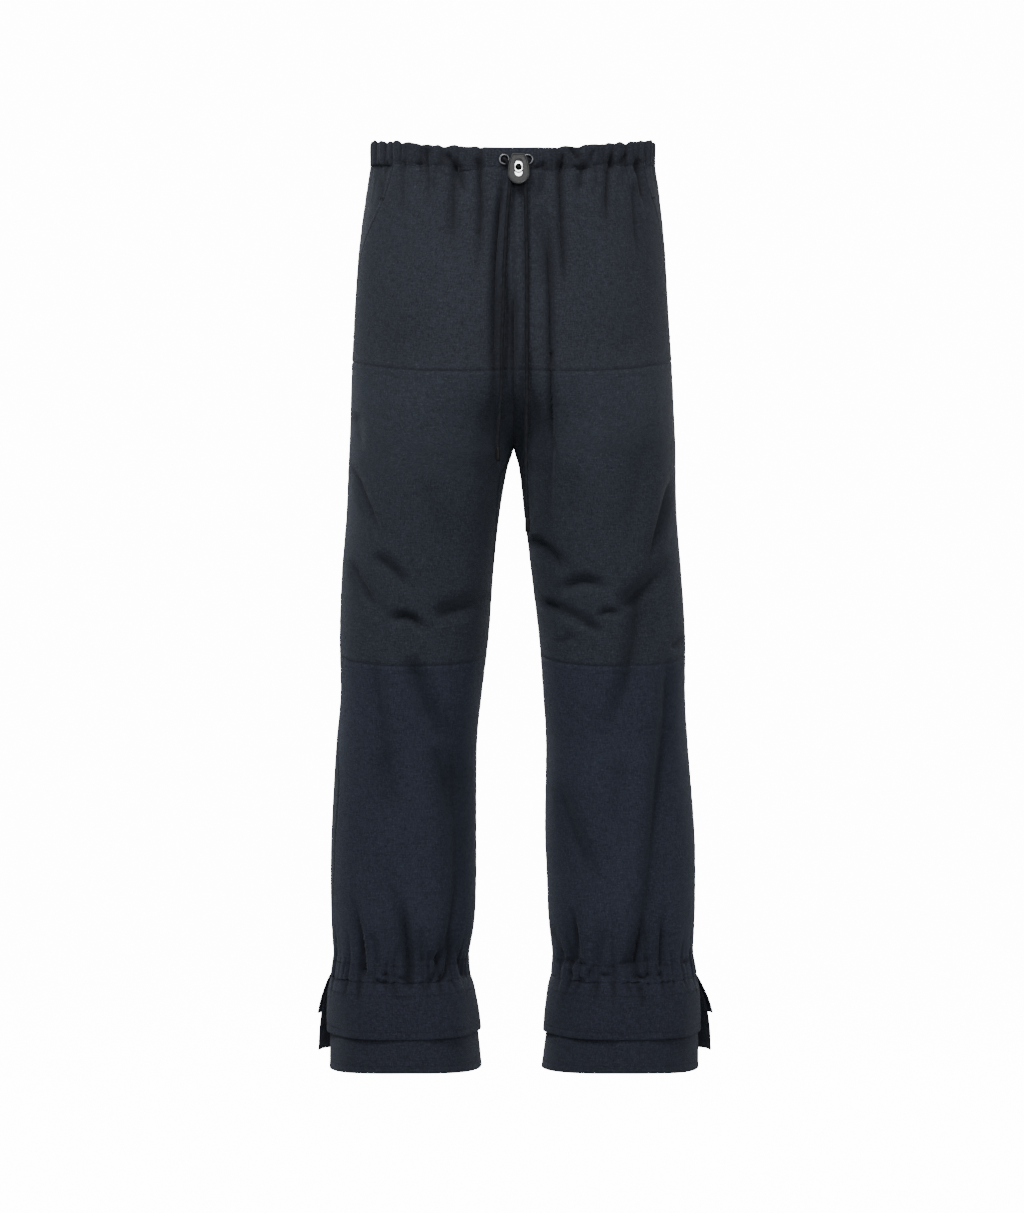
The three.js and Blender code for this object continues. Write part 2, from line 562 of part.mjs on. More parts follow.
function eyeletGeometry(side) {
  const { hole, barrel, flange, depth, lip } = EYELET;
  const profile = [
    [hole, depth],
    [hole, -lip * 0.6],
    [(hole + flange) / 2, -lip],
    [flange - 0.5, -lip * 0.7],
    [flange, 0],
    [barrel, 0],
    [barrel, depth],
    [hole, depth],
  ];
  return turned(profile, EYELETS[side], EYELET_FACE, EYELET.z, 14);
}
function eyeletPocket(side) {
  const profile = discProfile(EYELET.barrel + SEAM_GAP, -6, EYELET.depth + SEAM_GAP + 0.4);
  return turned(profile, EYELETS[side], EYELET_FACE, EYELET.z, 14);
}

// The cord lock: a tongue-shaped plate with a chrome bezel and a push button.
const LOCK = { x: 5.1, top: -11.5, low: -44.3, width: 23.4, topWidth: 15, thick: 8.4, edge: 0.8 };
const BEZEL = { z: -27, width: 9.6, height: 19.2, sunk: 1.8, hole: 3.7, thick: 1.6 };
const BUTTON = { z: -26.2, radius: 3.3, stem: 3.4, dome: 1.5, travel: 2, spare: 1.2 };
const LOCK_BACK = CASING_FRONT - EYELET.lip - 1.2;
const LOCK_FRONT = LOCK_BACK - LOCK.thick;

// A flat outline in x and z as a plate from `front`, this thick towards the back.
function plate(shape, front, thick, bevel, curveSegments = 8) {
  const options = { depth: thick - 2 * bevel, curveSegments };
  options.bevelEnabled = bevel > 0;
  Object.assign(options, { bevelThickness: bevel, bevelSize: bevel, bevelOffset: -bevel, bevelSegments: 1 });
  const geometry = new THREE.ExtrudeGeometry(shape, options);
  return geometry.rotateX(Math.PI / 2).translate(0, front + thick - bevel, 0);
}
function tongueShape() {
  const r = LOCK.width / 2;
  const centre = LOCK.low + r;
  const shape = new THREE.Shape();
  shape.moveTo(LOCK.x - LOCK.topWidth / 2, LOCK.top);
  shape.quadraticCurveTo(LOCK.x - r + 0.4, centre + 12, LOCK.x - r, centre);
  shape.absarc(LOCK.x, centre, r, Math.PI, 2 * Math.PI, false);
  shape.quadraticCurveTo(LOCK.x + r - 0.4, centre + 12, LOCK.x + LOCK.topWidth / 2, LOCK.top);
  return shape;
}
function oblongShape(width, height, z) {
  const r = width / 2;
  const straight = height / 2 - r;
  const shape = new THREE.Shape();
  shape.absarc(LOCK.x, z + straight, r, 0, Math.PI, false);
  shape.absarc(LOCK.x, z - straight, r, Math.PI, 2 * Math.PI, false);
  return shape;
}

// The drawcords: the points are where each free end shows, and its distance from the cloth
// follows the front of the hips and then hangs straight.
const CORD_ROUTES = {
  [RIGHT]: [
    { x: -10.3, y: -94.6, z: -16.4 },
    { x: -10.3, y: -97.9, z: -16.3 },
    { x: -9.6, y: -100.3, z: -17.3 },
    { x: -7.2, y: -101.6, z: -20 },
    { x: -4.4, y: -102.4, z: -27 },
    { x: -3.9, y: -102.4, z: -36 },
    { x: -4.6, y: -102.6, z: -47 },
    { x: -7, y: -104.6, z: -75 },
    { x: -9, y: -107, z: -107 },
    { x: -10.6, y: -109.5, z: -141 },
    { x: -11.6, y: -112.3, z: -181 },
    { x: -13.2, y: -113.8, z: -224 },
    { x: -13.4, y: -114.2, z: -261 },
    { x: -15, y: -114.4, z: -290 },
    { x: -17, y: -114.4, z: -316 },
    { x: -17.4, y: -114.4, z: -329 },
  ],
  [LEFT]: [
    { x: 15.2, y: -94.6, z: -16.4 },
    { x: 15.2, y: -97.9, z: -16.3 },
    { x: 15.3, y: -100.3, z: -17.5 },
    { x: 15, y: -101.6, z: -20.6 },
    { x: 13.9, y: -102.4, z: -27 },
    { x: 13, y: -102.4, z: -36 },
    { x: 12.6, y: -102.6, z: -47 },
    { x: 13, y: -104.6, z: -75 },
    { x: 13.6, y: -107, z: -107 },
    { x: 14, y: -109.5, z: -141 },
    { x: 14, y: -112.3, z: -181 },
    { x: 14, y: -113.8, z: -224 },
    { x: 14, y: -114.2, z: -261 },
    { x: 13.6, y: -114.4, z: -300 },
    { x: 13.2, y: -114.4, z: -335 },
    { x: 13.4, y: -114.4, z: -370 },
    { x: 14.4, y: -114.4, z: -405 },
  ],
};
const TIP = { length: 15, radius: 2.5 };

function cordTube(side, radius) {
  const sides = 8;
  const steps = side > 0 ? 42 : 36;
  const points = CORD_ROUTES[side].map(({ x, y, z }) => new THREE.Vector3(x, y, z));
  const path = new THREE.CatmullRomCurve3(points, false, "centripetal");
  const corner = (i) => {
    const turn = (2 * Math.PI * i) / sides;
    return new THREE.Vector2(radius * Math.cos(turn), radius * Math.sin(turn));
  };
  const section = new THREE.Shape(Array.from({ length: sides }, (_, i) => corner(i)));
  return new THREE.ExtrudeGeometry(section, { steps, extrudePath: path });
}
function tipGeometry(side) {
  const route = CORD_ROUTES[side];
  const end = route[route.length - 1];
  const { length, radius } = TIP;
  const profile = [[0, -length], [radius - 0.8, -length], [radius, 1 - length], [radius, -1], [radius - 0.6, 0], [0, 0]];
  return turned(profile, 0, 0, 0, 10)
    .rotateX(Math.PI / 2)
    .translate(end.x, end.y, end.z - SEAM_GAP);
}

const trousers = new THREE.Group();
function add(name, geometry, colour, roughness = 0.9, metalness = 0) {
  const mesh = new THREE.Mesh(geometry, new THREE.MeshStandardMaterial({ color: colour, roughness, metalness }));
  mesh.name = name;
  trousers.add(mesh);
}

for (const [side, word] of [[LEFT, "left"], [RIGHT, "right"]]) {
  const casing = cut(waistCasingGeometry(side), eyeletPocket(side));
  add(`waist_casing_${word}`, casing, COLOURS.cloth);
  add(`front_hip_${word}`, hipGeometry(side), COLOURS.cloth);
  add(`front_thigh_${word}`, thighGeometry(side), COLOURS.cloth);
  add(`front_shin_${word}`, shinGeometry(side), COLOURS.cloth);
  add(`back_leg_${word}`, backGeometry(side), COLOURS.cloth);
  add(`pocket_facing_${word}`, facingGeometry(side), COLOURS.cloth);
  add(`ankle_casing_${word}`, ankleCasingGeometry(side), COLOURS.cloth);
  add(`cuff_upper_${word}`, flounceGeometry(side, FLOUNCES.upper), COLOURS.cloth);
  add(`cuff_lower_${word}`, flounceGeometry(side, FLOUNCES.lower), COLOURS.cloth);
  add(`eyelet_${word}`, eyeletGeometry(side), COLOURS.trim, 0.3, 0.9);
  add(`cord_${word}`, cordTube(side, CORD_RADIUS), COLOURS.trim);
  add(`cord_tip_${word}`, tipGeometry(side), COLOURS.tip, 0.5);
}

const lockBody = cut(
  plate(tongueShape(), LOCK_FRONT, LOCK.thick, LOCK.edge),
  plate(oblongShape(BEZEL.width + 2 * SEAM_GAP, BEZEL.height + 2 * SEAM_GAP, BEZEL.z), LOCK_FRONT - 1, 1 + BEZEL.sunk + SEAM_GAP, 0),
  turned(discProfile(BEZEL.hole, -1, BUTTON.stem + BUTTON.travel + BUTTON.spare), LOCK.x, LOCK_FRONT, BUTTON.z, 18),
  cordTube(LEFT, CORD_RADIUS + 0.5),
  cordTube(RIGHT, CORD_RADIUS + 0.5),
);
add("lock_body", lockBody, COLOURS.cordLock, 0.5);
const bezel = cut(
  plate(oblongShape(BEZEL.width, BEZEL.height, BEZEL.z), LOCK_FRONT + BEZEL.sunk - BEZEL.thick, BEZEL.thick, 0.4),
  turned(discProfile(BEZEL.hole, -3, 3), LOCK.x, LOCK_FRONT, BUTTON.z, 18),
);
add("lock_bezel", bezel, COLOURS.chrome, 0.15, 1);
const buttonProfile = [
  [0, -BUTTON.dome],
  [BUTTON.radius * 0.45, -BUTTON.dome * 0.93],
  [BUTTON.radius * 0.82, -BUTTON.dome * 0.62],
  [BUTTON.radius, 0],
  [BUTTON.radius, BUTTON.stem],
  [0, BUTTON.stem],
];
add("lock_button", turned(buttonProfile, LOCK.x, LOCK_FRONT, BUTTON.z, 16), COLOURS.tip, 0.2);

export default trousers;
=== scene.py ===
import math

import bmesh
import bpy
import numpy as np
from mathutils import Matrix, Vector


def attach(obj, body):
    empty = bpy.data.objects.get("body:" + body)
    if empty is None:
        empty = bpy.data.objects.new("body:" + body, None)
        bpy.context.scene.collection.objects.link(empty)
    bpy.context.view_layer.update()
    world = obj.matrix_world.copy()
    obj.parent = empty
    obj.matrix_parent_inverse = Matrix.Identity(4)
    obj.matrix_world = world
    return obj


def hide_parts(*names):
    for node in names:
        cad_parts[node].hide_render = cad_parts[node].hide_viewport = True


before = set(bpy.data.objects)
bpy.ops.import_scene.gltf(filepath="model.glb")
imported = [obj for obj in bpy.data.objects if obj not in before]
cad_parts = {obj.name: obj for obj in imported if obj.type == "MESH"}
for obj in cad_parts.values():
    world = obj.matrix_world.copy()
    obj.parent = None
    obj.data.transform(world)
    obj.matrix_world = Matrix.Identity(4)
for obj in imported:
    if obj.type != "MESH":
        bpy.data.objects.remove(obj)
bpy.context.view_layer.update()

# Wool trousers with a drawstring waist, filled out as if worn. Lengths are in millimetres until a
# mesh is made. +Z is up, the front faces -Y and +X is the wearer's left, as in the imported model.

MM = 0.001
LEFT, RIGHT = 1, -1
SIDES = {"left": LEFT, "right": RIGHT}

CLOTH = 1.5
FLOUNCE_CLOTH = 1.8
WAIST_TOP = 17
WAIST_LOW = -7
FRONT_DIP = 20
BACK_LIFT = 6
SEAM_SAG = 13
FRONT_RISE_TOP = -190
BACK_RISE_TOP = -150
CROTCH = -322
HIP_SEAM = -226
KNEE_SEAM = -552
ANKLE_TOP = -888
ANKLE_LOW = -909
UPPER_HEM = -971
LOWER_HEM = -1007
MOUTH_LOW = -205
OVAL = 2.25
CORD_RADIUS = 2.1
MERGE = 2e-6


def table(columns, *rows):
    return {name: np.array(column, float) for name, column in zip(columns.split(), zip(*rows))}


# Outer and inner edge of each leg as seen from the front, and the front and back of the cloth
# as seen from the side, level by level.
SECTIONS = table(
    "z out_left out_right in_left in_right front back",
    (30, 159, 160, 0, 0, -92, 107),
    (0, 158, 160, 0, 0, -94, 110),
    (-30, 162, 164, 0, 0, -97, 115),
    (-96, 169, 173, 0, 0, -104, 128),
    (-163, 173, 178, 0, 0, -110, 137),
    (-230, 177, 181, 0, 0, -112, 140),
    (-297, 180, 183, 0, 0, -111, 134),
    (-322, 181, 184, 0, 0, -110, 130),
    (-345, 181, 185, 6, 7, -109, 125),
    (-398, 182, 187, 12, 16, -105, 115),
    (-465, 187, 192, 20, 23, -98, 102),
    (-532, 191, 194, 28, 28, -92, 92),
    (-599, 191, 193, 33, 36, -88, 89),
    (-649, 194, 198, 36, 41, -84, 92),
    (-750, 202, 204, 35, 42, -80, 97),
    (-800, 203, 205, 37, 42, -79, 97),
    (-850, 202, 204, 39, 44, -79, 94),
    (-888, 200, 202, 43, 50, -77, 88),
    (-912, 202, 203, 43, 50, -77, 87),
    (-971, 205, 204, 37, 41, -84, 92),
    (-1010, 204, 203, 33, 38, -87, 94),
)

# The slanting mouth of each pocket, in degrees in front of the side seam.
MOUTH = table(
    "z left right",
    (0, 50, 69),
    (-30, 47, 64),
    (-60, 33, 53),
    (-85, 24, 38),
    (-110, 17, 26),
    (-150, 14, 17),
    (MOUTH_LOW, 13, 13),
)

# How far the side seam and the inseam lie in front of the outline, in degrees round the leg.
SEAM_TURN = table(
    "z side_left side_right inner_left inner_right",
    (-322, 0, 0, 0, 0),
    (-352, 0, 0, 3, 24),
    (-430, 0, 0, 4, 12),
    (-480, 0, 0, 3, 3),
    (-600, 2, 5, 2, 2),
    (-700, 4, 28, 2, 2),
    (-780, 3, 24, 2, 2),
    (-909, 0, 0, 0, 0),
)

# Folds as seen from the front or the back: a soft trough along a curve through three points.
# A gathered one keeps its depth where it starts, at the gathered edge.
FOLD_COLUMNS = "from_x from_z via_x via_z to_x to_z depth width gathered"
FRONT_FOLDS = table(
    FOLD_COLUMNS,
    (-95, -6, -94, -30, -93, -72, 3.0, 4.5, 1),
    (-76, -6, -64, -24, -53, -54, 4.2, 4.5, 0),
    (-64, -24, -67, -66, -66, -126, 3.6, 6, 1),
    (-39, -20, -36, -70, -41, -160, 4.0, 5, 1),
    (-9, -32, -21, -150, -19, -350, 6.4, 5, 0),
    (-10, -130, -10, -240, -9, -345, 6.5, 11, 0),
    (1, -150, 0, -240, 1, -340, 5.0, 4, 0),
    (13, -215, 14, -270, 14, -335, 3.0, 9, 0),
    (37, -80, 40, -230, 38, -420, 6.0, 4.2, 0),
    (30, -60, 33, -110, 34, -170, 3.0, 9, 0),
    (51, -22, 52, -95, 58, -175, 5.4, 4.5, 1),
    (76, -22, 73, -38, 70, -60, 3.0, 5, 1),
    (105, -16, 102, -50, 102, -100, 4.0, 5, 1),
    (132, -30, 134, -80, 139, -146, 3.6, 7, 0),
    (137, -14, 141, -40, 145, -66, 3.4, 4.5, 1),
    (33, -27, 30, -46, 25, -68, 2.6, 6, 1),
    (20, -26, 29, -23, 37, -16, 2.6, 3, 0),
    (54, -8, 53, -18, 54, -32, 3.0, 3, 0),
    (61, -1, 66, -9, 73, -18, 3.0, 3.5, 0),
    (64, -22, 75, -25, 87, -20, 2.4, 3, 0),
    (107, -4, 106, -16, 113, -27, 2.8, 3.2, 0),
    (124, -2, 119, -10, 111, -22, 2.6, 3.2, 0),
    (87, -3, 85, -12, 84, -22, 2.4, 3.2, 0),
    (134, -6, 135, -16, 136, -28, 2.4, 3.2, 0),
    (-108, -20, -102, -18, -95, -18, 2.0, 3, 0),
    (-141, -10, -137, -17, -130, -20, 2.0, 4, 0),
    (-181, -345, -162, -388, -138, -434, 6.0, 7, 0),
    (-155, -444, -130, -462, -110, -488, 5.0, 8, 0),
    (-182, -448, -164, -482, -140, -514, 5.6, 8, 0),
    (-134, -518, -115, -512, -92, -534, 4.5, 7, 0),
    (-88, -509, -58, -502, -24, -484, 6.0, 11, 0),
    (-112, -552, -96, -604, -66, -668, 8.5, 13, 0),
    (-153, -552, -143, -640, -127, -745, 3.6, 10, 0),
    (-66, -650, -62, -740, -66, -850, 4.0, 13, 0),
    (16, -424, 38, -444, 62, -470, 7.5, 9, 0),
    (46, -486, 76, -474, 106, -486, 5.5, 8, 0),
    (112, -503, 142, -482, 174, -446, 7.0, 11, 0),
    (178, -352, 163, -405, 141, -470, 5.6, 6.5, 0),
    (26, -492, 62, -510, 98, -530, 4.0, 8, 0),
    (134, -470, 127, -562, 92, -660, 7.2, 12.5, 0),
    (129, -886, 150, -780, 164, -560, 5.0, 10, 1),
    (66, -888, 66, -862, 65, -825, 3.4, 4.5, 1),
    (162, -892, 162, -865, 163, -828, 3.4, 4.5, 1),
    (131, -906, 133, -880, 142, -832, 4.0, 4.5, 1),
    (-164, -898, -169, -860, -177, -812, 4.6, 5, 1),
    (-115, -910, -116, -868, -123, -812, 4.4, 5, 1),
    (-117, -886, -122, -850, -144, -770, 3.0, 9, 1),
    (-79, -909, -70, -888, -66, -850, 4.0, 4, 1),
    (-57, -908, -60, -890, -62, -872, 2.8, 3.5, 1),
    (-90, -909, -85, -898, -81, -874, 3.4, 4, 1),
    (-168, -896, -161, -902, -154, -903, 2.6, 2.8, 0),
    (-153, -908, -143, -910, -133, -909, 2.4, 2.6, 0),
    (-133, -908, -132, -920, -130, -927, 1.5, 2.4, 0),
    (-131, -926, -121, -928, -104, -927, 0.9, 2.4, 0),
    (-146, -899, -138, -903, -131, -904, 2.4, 2.6, 0),
    (-128, -904, -122, -906, -115, -904, 2.0, 2.6, 0),
    (53, -889, 72, -892, 87, -886, 2.2, 2.8, 0),
    (109, -889, 130, -888, 155, -885, 1.6, 2.8, 0),
    (60, -900, 63, -905, 68, -909, 2.8, 2.8, 0),
    (71, -907, 75, -909, 80, -908, 2.4, 2.4, 0),
    (84, -894, 82, -902, 82, -911, 3.0, 3.0, 0),
    (93, -901, 101, -903, 109, -901, 2.2, 2.6, 0),
    (132, -906, 142, -904, 153, -899, 2.8, 2.8, 0),
    (156, -898, 160, -903, 165, -904, 2.8, 2.8, 0),
    (138, -911, 140, -925, 143, -944, 1.8, 4, 0),
    (185, -893, 189, -891, 194, -888, 2.0, 2.6, 0),
    (-83, -886, -67, -850, -56, -745, 5.0, 8, 1),
    (-58, -24, -56, -42, -53, -60, 1.6, 4, 1),
    (-150, -14, -148, -34, -143, -60, 1.8, 5, 1),
    (-84, -22, -86, -40, -85, -62, 1.6, 4, 1),
    (-120, -18, -122, -44, -120, -80, 2.0, 5, 1),
    (88, -20, 90, -36, 89, -58, 1.6, 4, 1),
    (119, -14, 120, -34, 119, -56, 1.6, 4, 1),
    (-175, -285, -171, -310, -164, -336, 3.0, 8, 0),
    (-88, -650, -76, -690, -68, -745, 3.6, 13, 0),
    (90, -512, 104, -506, 121, -512, 3.4, 5, 0),
    (74, -519, 85, -523, 97, -529, 2.0, 5, 0),
    (45, -542, 57, -536, 69, -532, 1.6, 5, 0),
    (32, -495, 40, -501, 51, -506, 2.4, 5, 0),
    (172, -545, 181, -539, 189, -532, 3.4, 6, 0),
    (168, -552, 166, -650, 150, -770, 4.6, 9, 0),
    (146, -308, 130, -384, 116, -450, 2.6, 17, 0),
    (48, -690, 66, -750, 96, -810, 4.4, 12, 0),
    (68, -886, 65, -858, 62, -828, 1.8, 5, 1),
    (56, -890, 47, -872, 40, -852, 2.8, 5, 1),
    (-38, -495, -31, -491, -23, -488, 2.0, 5, 0),
    (-130, -516, -112, -513, -93, -529, 2.0, 5, 0),
    (-150, -887, -153, -868, -158, -846, 1.8, 5, 1),
    (-100, -887, -101, -868, -100, -846, 1.8, 5, 1),
    (146, -887, 144, -866, 143, -842, 1.8, 5, 1),
    (94, -887, 96, -866, 99, -838, 1.8, 5, 1),
    (-96, -360, -84, -402, -60, -446, 2.4, 16, 0),
    (66, -346, 62, -384, 66, -420, 2.0, 15, 0),
    (-150, -655, -142, -700, -146, -742, 2.2, 15, 0),
    (120, -664, 110, -716, 116, -770, 2.0, 15, 0),
)

BACK_FOLDS = table(
    FOLD_COLUMNS,
    (-120, -10, -117, -60, -122, -120, 4.0, 7, 1),
    (-72, -6, -70, -70, -74, -150, 5.0, 7, 1),
    (-30, -4, -33, -50, -31, -110, 4.0, 7, 1),
    (30, -4, 28, -60, 32, -130, 4.0, 7, 1),
    (74, -6, 77, -60, 74, -140, 5.0, 7, 1),
    (122, -10, 118, -50, 121, -100, 4.0, 7, 1),
    (-22, -300, -62, -352, -120, -384, 7.0, 12, 0),
    (24, -304, 66, -350, 124, -378, 7.0, 12, 0),
    (-170, -470, -110, -520, -46, -508, 7.0, 13, 0),
    (-165, -560, -112, -566, -52, -590, 6.0, 12, 0),
    (168, -480, 108, -514, 44, -500, 7.0, 13, 0),
    (166, -590, 114, -564, 50, -570, 6.0, 12, 0),
    (-150, -886, -144, -850, -152, -770, 5.0, 8, 1),
    (-90, -886, -96, -840, -88, -730, 5.0, 9, 1),
    (86, -886, 92, -846, 84, -740, 5.0, 9, 1),
    (150, -886, 143, -850, 150, -780, 5.0, 8, 1),
    (-96, -8, -94, -34, -97, -64, 1.8, 4, 1),
    (-50, -5, -52, -30, -50, -56, 1.8, 4, 1),
    (52, -5, 50, -30, 52, -60, 1.8, 4, 1),
    (98, -8, 99, -30, 97, -56, 1.8, 4, 1),
    (-14, -4, -13, -26, -15, -52, 1.5, 4, 1),
    (12, -4, 13, -28, 11, -54, 1.5, 4, 1),
    (-145, -10, -147, -34, -144, -66, 1.8, 5, 1),
    (146, -10, 147, -34, 145, -62, 1.8, 5, 1),
    (-30, -334, -70, -372, -112, -410, 3.0, 10, 0),
    (32, -338, 72, -370, 108, -404, 3.0, 10, 0),
    (-150, -520, -118, -536, -86, -534, 3.0, 8, 0),
    (148, -520, 120, -538, 84, -532, 3.0, 8, 0),
    (-120, -610, -104, -650, -110, -700, 3.0, 13, 0),
    (122, -606, 106, -656, 112, -710, 3.0, 13, 0),
    (-66, -886, -62, -862, -64, -834, 1.8, 5, 1),
    (-122, -886, -124, -858, -120, -826, 1.8, 5, 1),
    (-174, -886, -176, -860, -172, -832, 1.8, 5, 1),
    (62, -886, 64, -862, 60, -834, 1.8, 5, 1),
    (118, -886, 120, -858, 116, -830, 1.8, 5, 1),
    (174, -886, 172, -860, 176, -836, 1.8, 5, 1),
    (-98, -60, -90, -160, -100, -260, 2.0, 17, 0),
    (96, -70, 104, -160, 96, -250, 2.0, 17, 0),
)

# Gathers: how many waves, their height, how much they lift the edge, and the flat place beside
# the eyelets. Creases: how much deeper than drawn they press each casing, and pull on its edge.
WAIST_GATHERS = {"front": 10, "back": 11, "height": 1.7, "scallop": 1.2, "flat_front": 24,
                 "crease": 1.1, "crease_pull": 0.9}
ANKLE_GATHERS = {"waves": 17, "height": 1.5, "scallop": 0.9, "crease": 1.0, "crease_pull": 0.8}

# The cords' routes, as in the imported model: from the eyelet through the lock to the free end.
CORD_ROUTES = {
    "right": (
        (-10.3, -94.6, -16.4), (-10.3, -97.9, -16.3), (-9.6, -100.3, -17.3), (-7.2, -101.6, -20),
        (-4.4, -102.4, -27), (-3.9, -102.4, -36), (-4.6, -102.6, -47), (-7, -104.6, -75),
        (-9, -107, -107), (-10.6, -109.5, -141), (-11.6, -112.3, -181), (-13.2, -113.8, -224),
        (-13.4, -114.2, -261), (-15, -114.4, -290), (-17, -114.4, -316), (-17.4, -114.4, -329),
    ),
    "left": (
        (15.2, -94.6, -16.4), (15.2, -97.9, -16.3), (15.3, -100.3, -17.5), (15, -101.6, -20.6),
        (13.9, -102.4, -27), (13, -102.4, -36), (12.6, -102.6, -47), (13, -104.6, -75),
        (13.6, -107, -107), (14, -109.5, -141), (14, -112.3, -181), (14, -113.8, -224),
        (14, -114.2, -261), (13.6, -114.4, -300), (13.2, -114.4, -335), (13.4, -114.4, -370),
        (14.4, -114.4, -405),
    ),
}


# Camera, lights and the pale studio

CAMERA_PLACE = (-0.002, -3.0, -0.5)
CAMERA_LENS = 79.7
FAR_ENOUGH = 50
FLOOR_LEVEL = -1.45
STUDIO_RADIUS = 9
SKY_STRENGTH = 0.3
# Place and aim in metres, width in metres and power in watts.
LIGHTS = (
    ((-0.9, -1.7, 2.1), (0, 0, -0.5), 1.0, 59),
    ((1.9, -2.1, 0.4), (0, 0, -0.6), 1.5, 17),
    ((0.05, -2.9, 0.5), (0, 0, -0.1), 0.8, 13),
    ((-1.0, 2.7, 1.3), (0, 0, -0.5), 1.4, 36),
    ((1.3, 2.6, 0.2), (0, 0, -0.5), 1.6, 18),
)


def make_camera():
    bpy.ops.object.camera_add(location=CAMERA_PLACE, rotation=(math.radians(90), 0, 0))
    camera = bpy.context.object
    camera.data.lens = CAMERA_LENS
    camera.data.clip_end = FAR_ENOUGH
    bpy.context.scene.camera = camera


def make_light(place, aim, width, power):
    bpy.ops.object.light_add(type="AREA", location=place)
    light = bpy.context.object
    light.data.size = width
    light.data.energy = power
    light.rotation_euler = (Vector(aim) - Vector(place)).to_track_quat("-Z", "Y").to_euler()


def make_studio():
    """A pale round studio whose wall runs into its floor, with soft light from all round."""
    bpy.ops.mesh.primitive_uv_sphere_add(segments=96, ring_count=64, radius=STUDIO_RADIUS)
    studio = bpy.context.object
    studio.name = "pale_studio"
    for vertex in studio.data.vertices:
        vertex.co.z = max(vertex.co.z, FLOOR_LEVEL)
    bpy.ops.object.mode_set(mode="EDIT")
    bpy.ops.mesh.select_all(action="SELECT")
    bpy.ops.mesh.flip_normals()
    bpy.ops.object.mode_set(mode="OBJECT")
    bpy.ops.object.shade_smooth()
    studio.visible_diffuse = studio.visible_glossy = studio.visible_shadow = False
    for light in LIGHTS:
        make_light(*light)
    world = bpy.data.worlds.new("pale_studio")
    bpy.context.scene.world = world
    world.use_nodes = True
    sky = world.node_tree.nodes["Background"].inputs
    sky["Color"].default_value = (1, 1, 1, 1)
    sky["Strength"].default_value = SKY_STRENGTH
    return studio


# Form of the cloth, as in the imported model


def smooth(t):
    """From 0 to 1 with an easy start and end."""
    s = np.clip(t, 0, 1)
    return s * s * (3 - 2 * s)


def lerp(a, b, t):
    return a + (b - a) * t


def bell(distance, width):
    return np.exp(-((distance / width) ** 2))


def row_above(zs, z):
    return np.clip(np.searchsorted(-zs, -z, side="right") - 1, 0, len(zs) - 2)


def value(data, z, key):
    """A column of a table at the levels z, on a smooth curve through its rows."""
    zs, ys = data["z"], data[key]
    z = np.asarray(z, float)
    above = np.concatenate(([0], np.arange(len(zs) - 1)))
    below = np.concatenate((np.arange(1, len(zs)), [len(zs) - 1]))
    slope = (ys[below] - ys[above]) / (zs[below] - zs[above])
    i = row_above(zs, z)
    span = zs[i + 1] - zs[i]
    t = np.clip((z - zs[i]) / span, 0, 1)
    t2, t3 = t * t, t * t * t
    return ((2 * t3 - 3 * t2 + 1) * ys[i] + (t3 - 2 * t2 + t) * span * slope[i]
            + (3 * t2 - 2 * t3) * ys[i + 1] + (t3 - t2) * span * slope[i + 1])


def seam_turn(z, key):
    zs, ys = SEAM_TURN["z"], SEAM_TURN[key]
    z = np.asarray(z, float)
    i = row_above(zs, z)
    down = smooth((zs[i] - z) / (zs[i] - zs[i + 1]))
    return np.where(z >= zs[0], 0, lerp(ys[i], ys[i + 1], down))


def oval(degrees, half_width, half_depth):
    c, s = np.cos(np.radians(degrees)), np.sin(np.radians(degrees))
    power = 2 / OVAL
    return half_width * np.sign(c) * np.abs(c) ** power, half_depth * np.maximum(0, s) ** power


def rise_drop(is_front, z):
    """How far down the rise a level is: 0 above it, 1 at the crotch."""
    top = np.where(is_front, FRONT_RISE_TOP, BACK_RISE_TOP)
    return np.clip((top - z) / (top - CROTCH), 0, 1)


SAG_FROM = -120


def course_dip(is_front, share, z):
    """How far a level course of the cloth dips: at the centre seams, and at mid thigh and shin."""
    to_middle = (1 - np.cos(np.pi * share)) / 2
    pelvis = smooth((z - CROTCH) / 110)
    leg = SEAM_SAG * smooth((SAG_FROM - z) / 250) * smooth((z - ANKLE_TOP) / 350)
    front = FRONT_DIP * to_middle * pelvis + leg * np.sin(np.pi * share)
    return np.where(is_front, front, -BACK_LIFT * to_middle * pelvis)


def facing(angle):
    """Which half of the leg an angle is on, and its share of the way from the outer side."""
    turned = np.mod(angle, 360)
    is_front = turned <= 180
    return turned, is_front, np.where(is_front, turned, 360 - turned) / 180


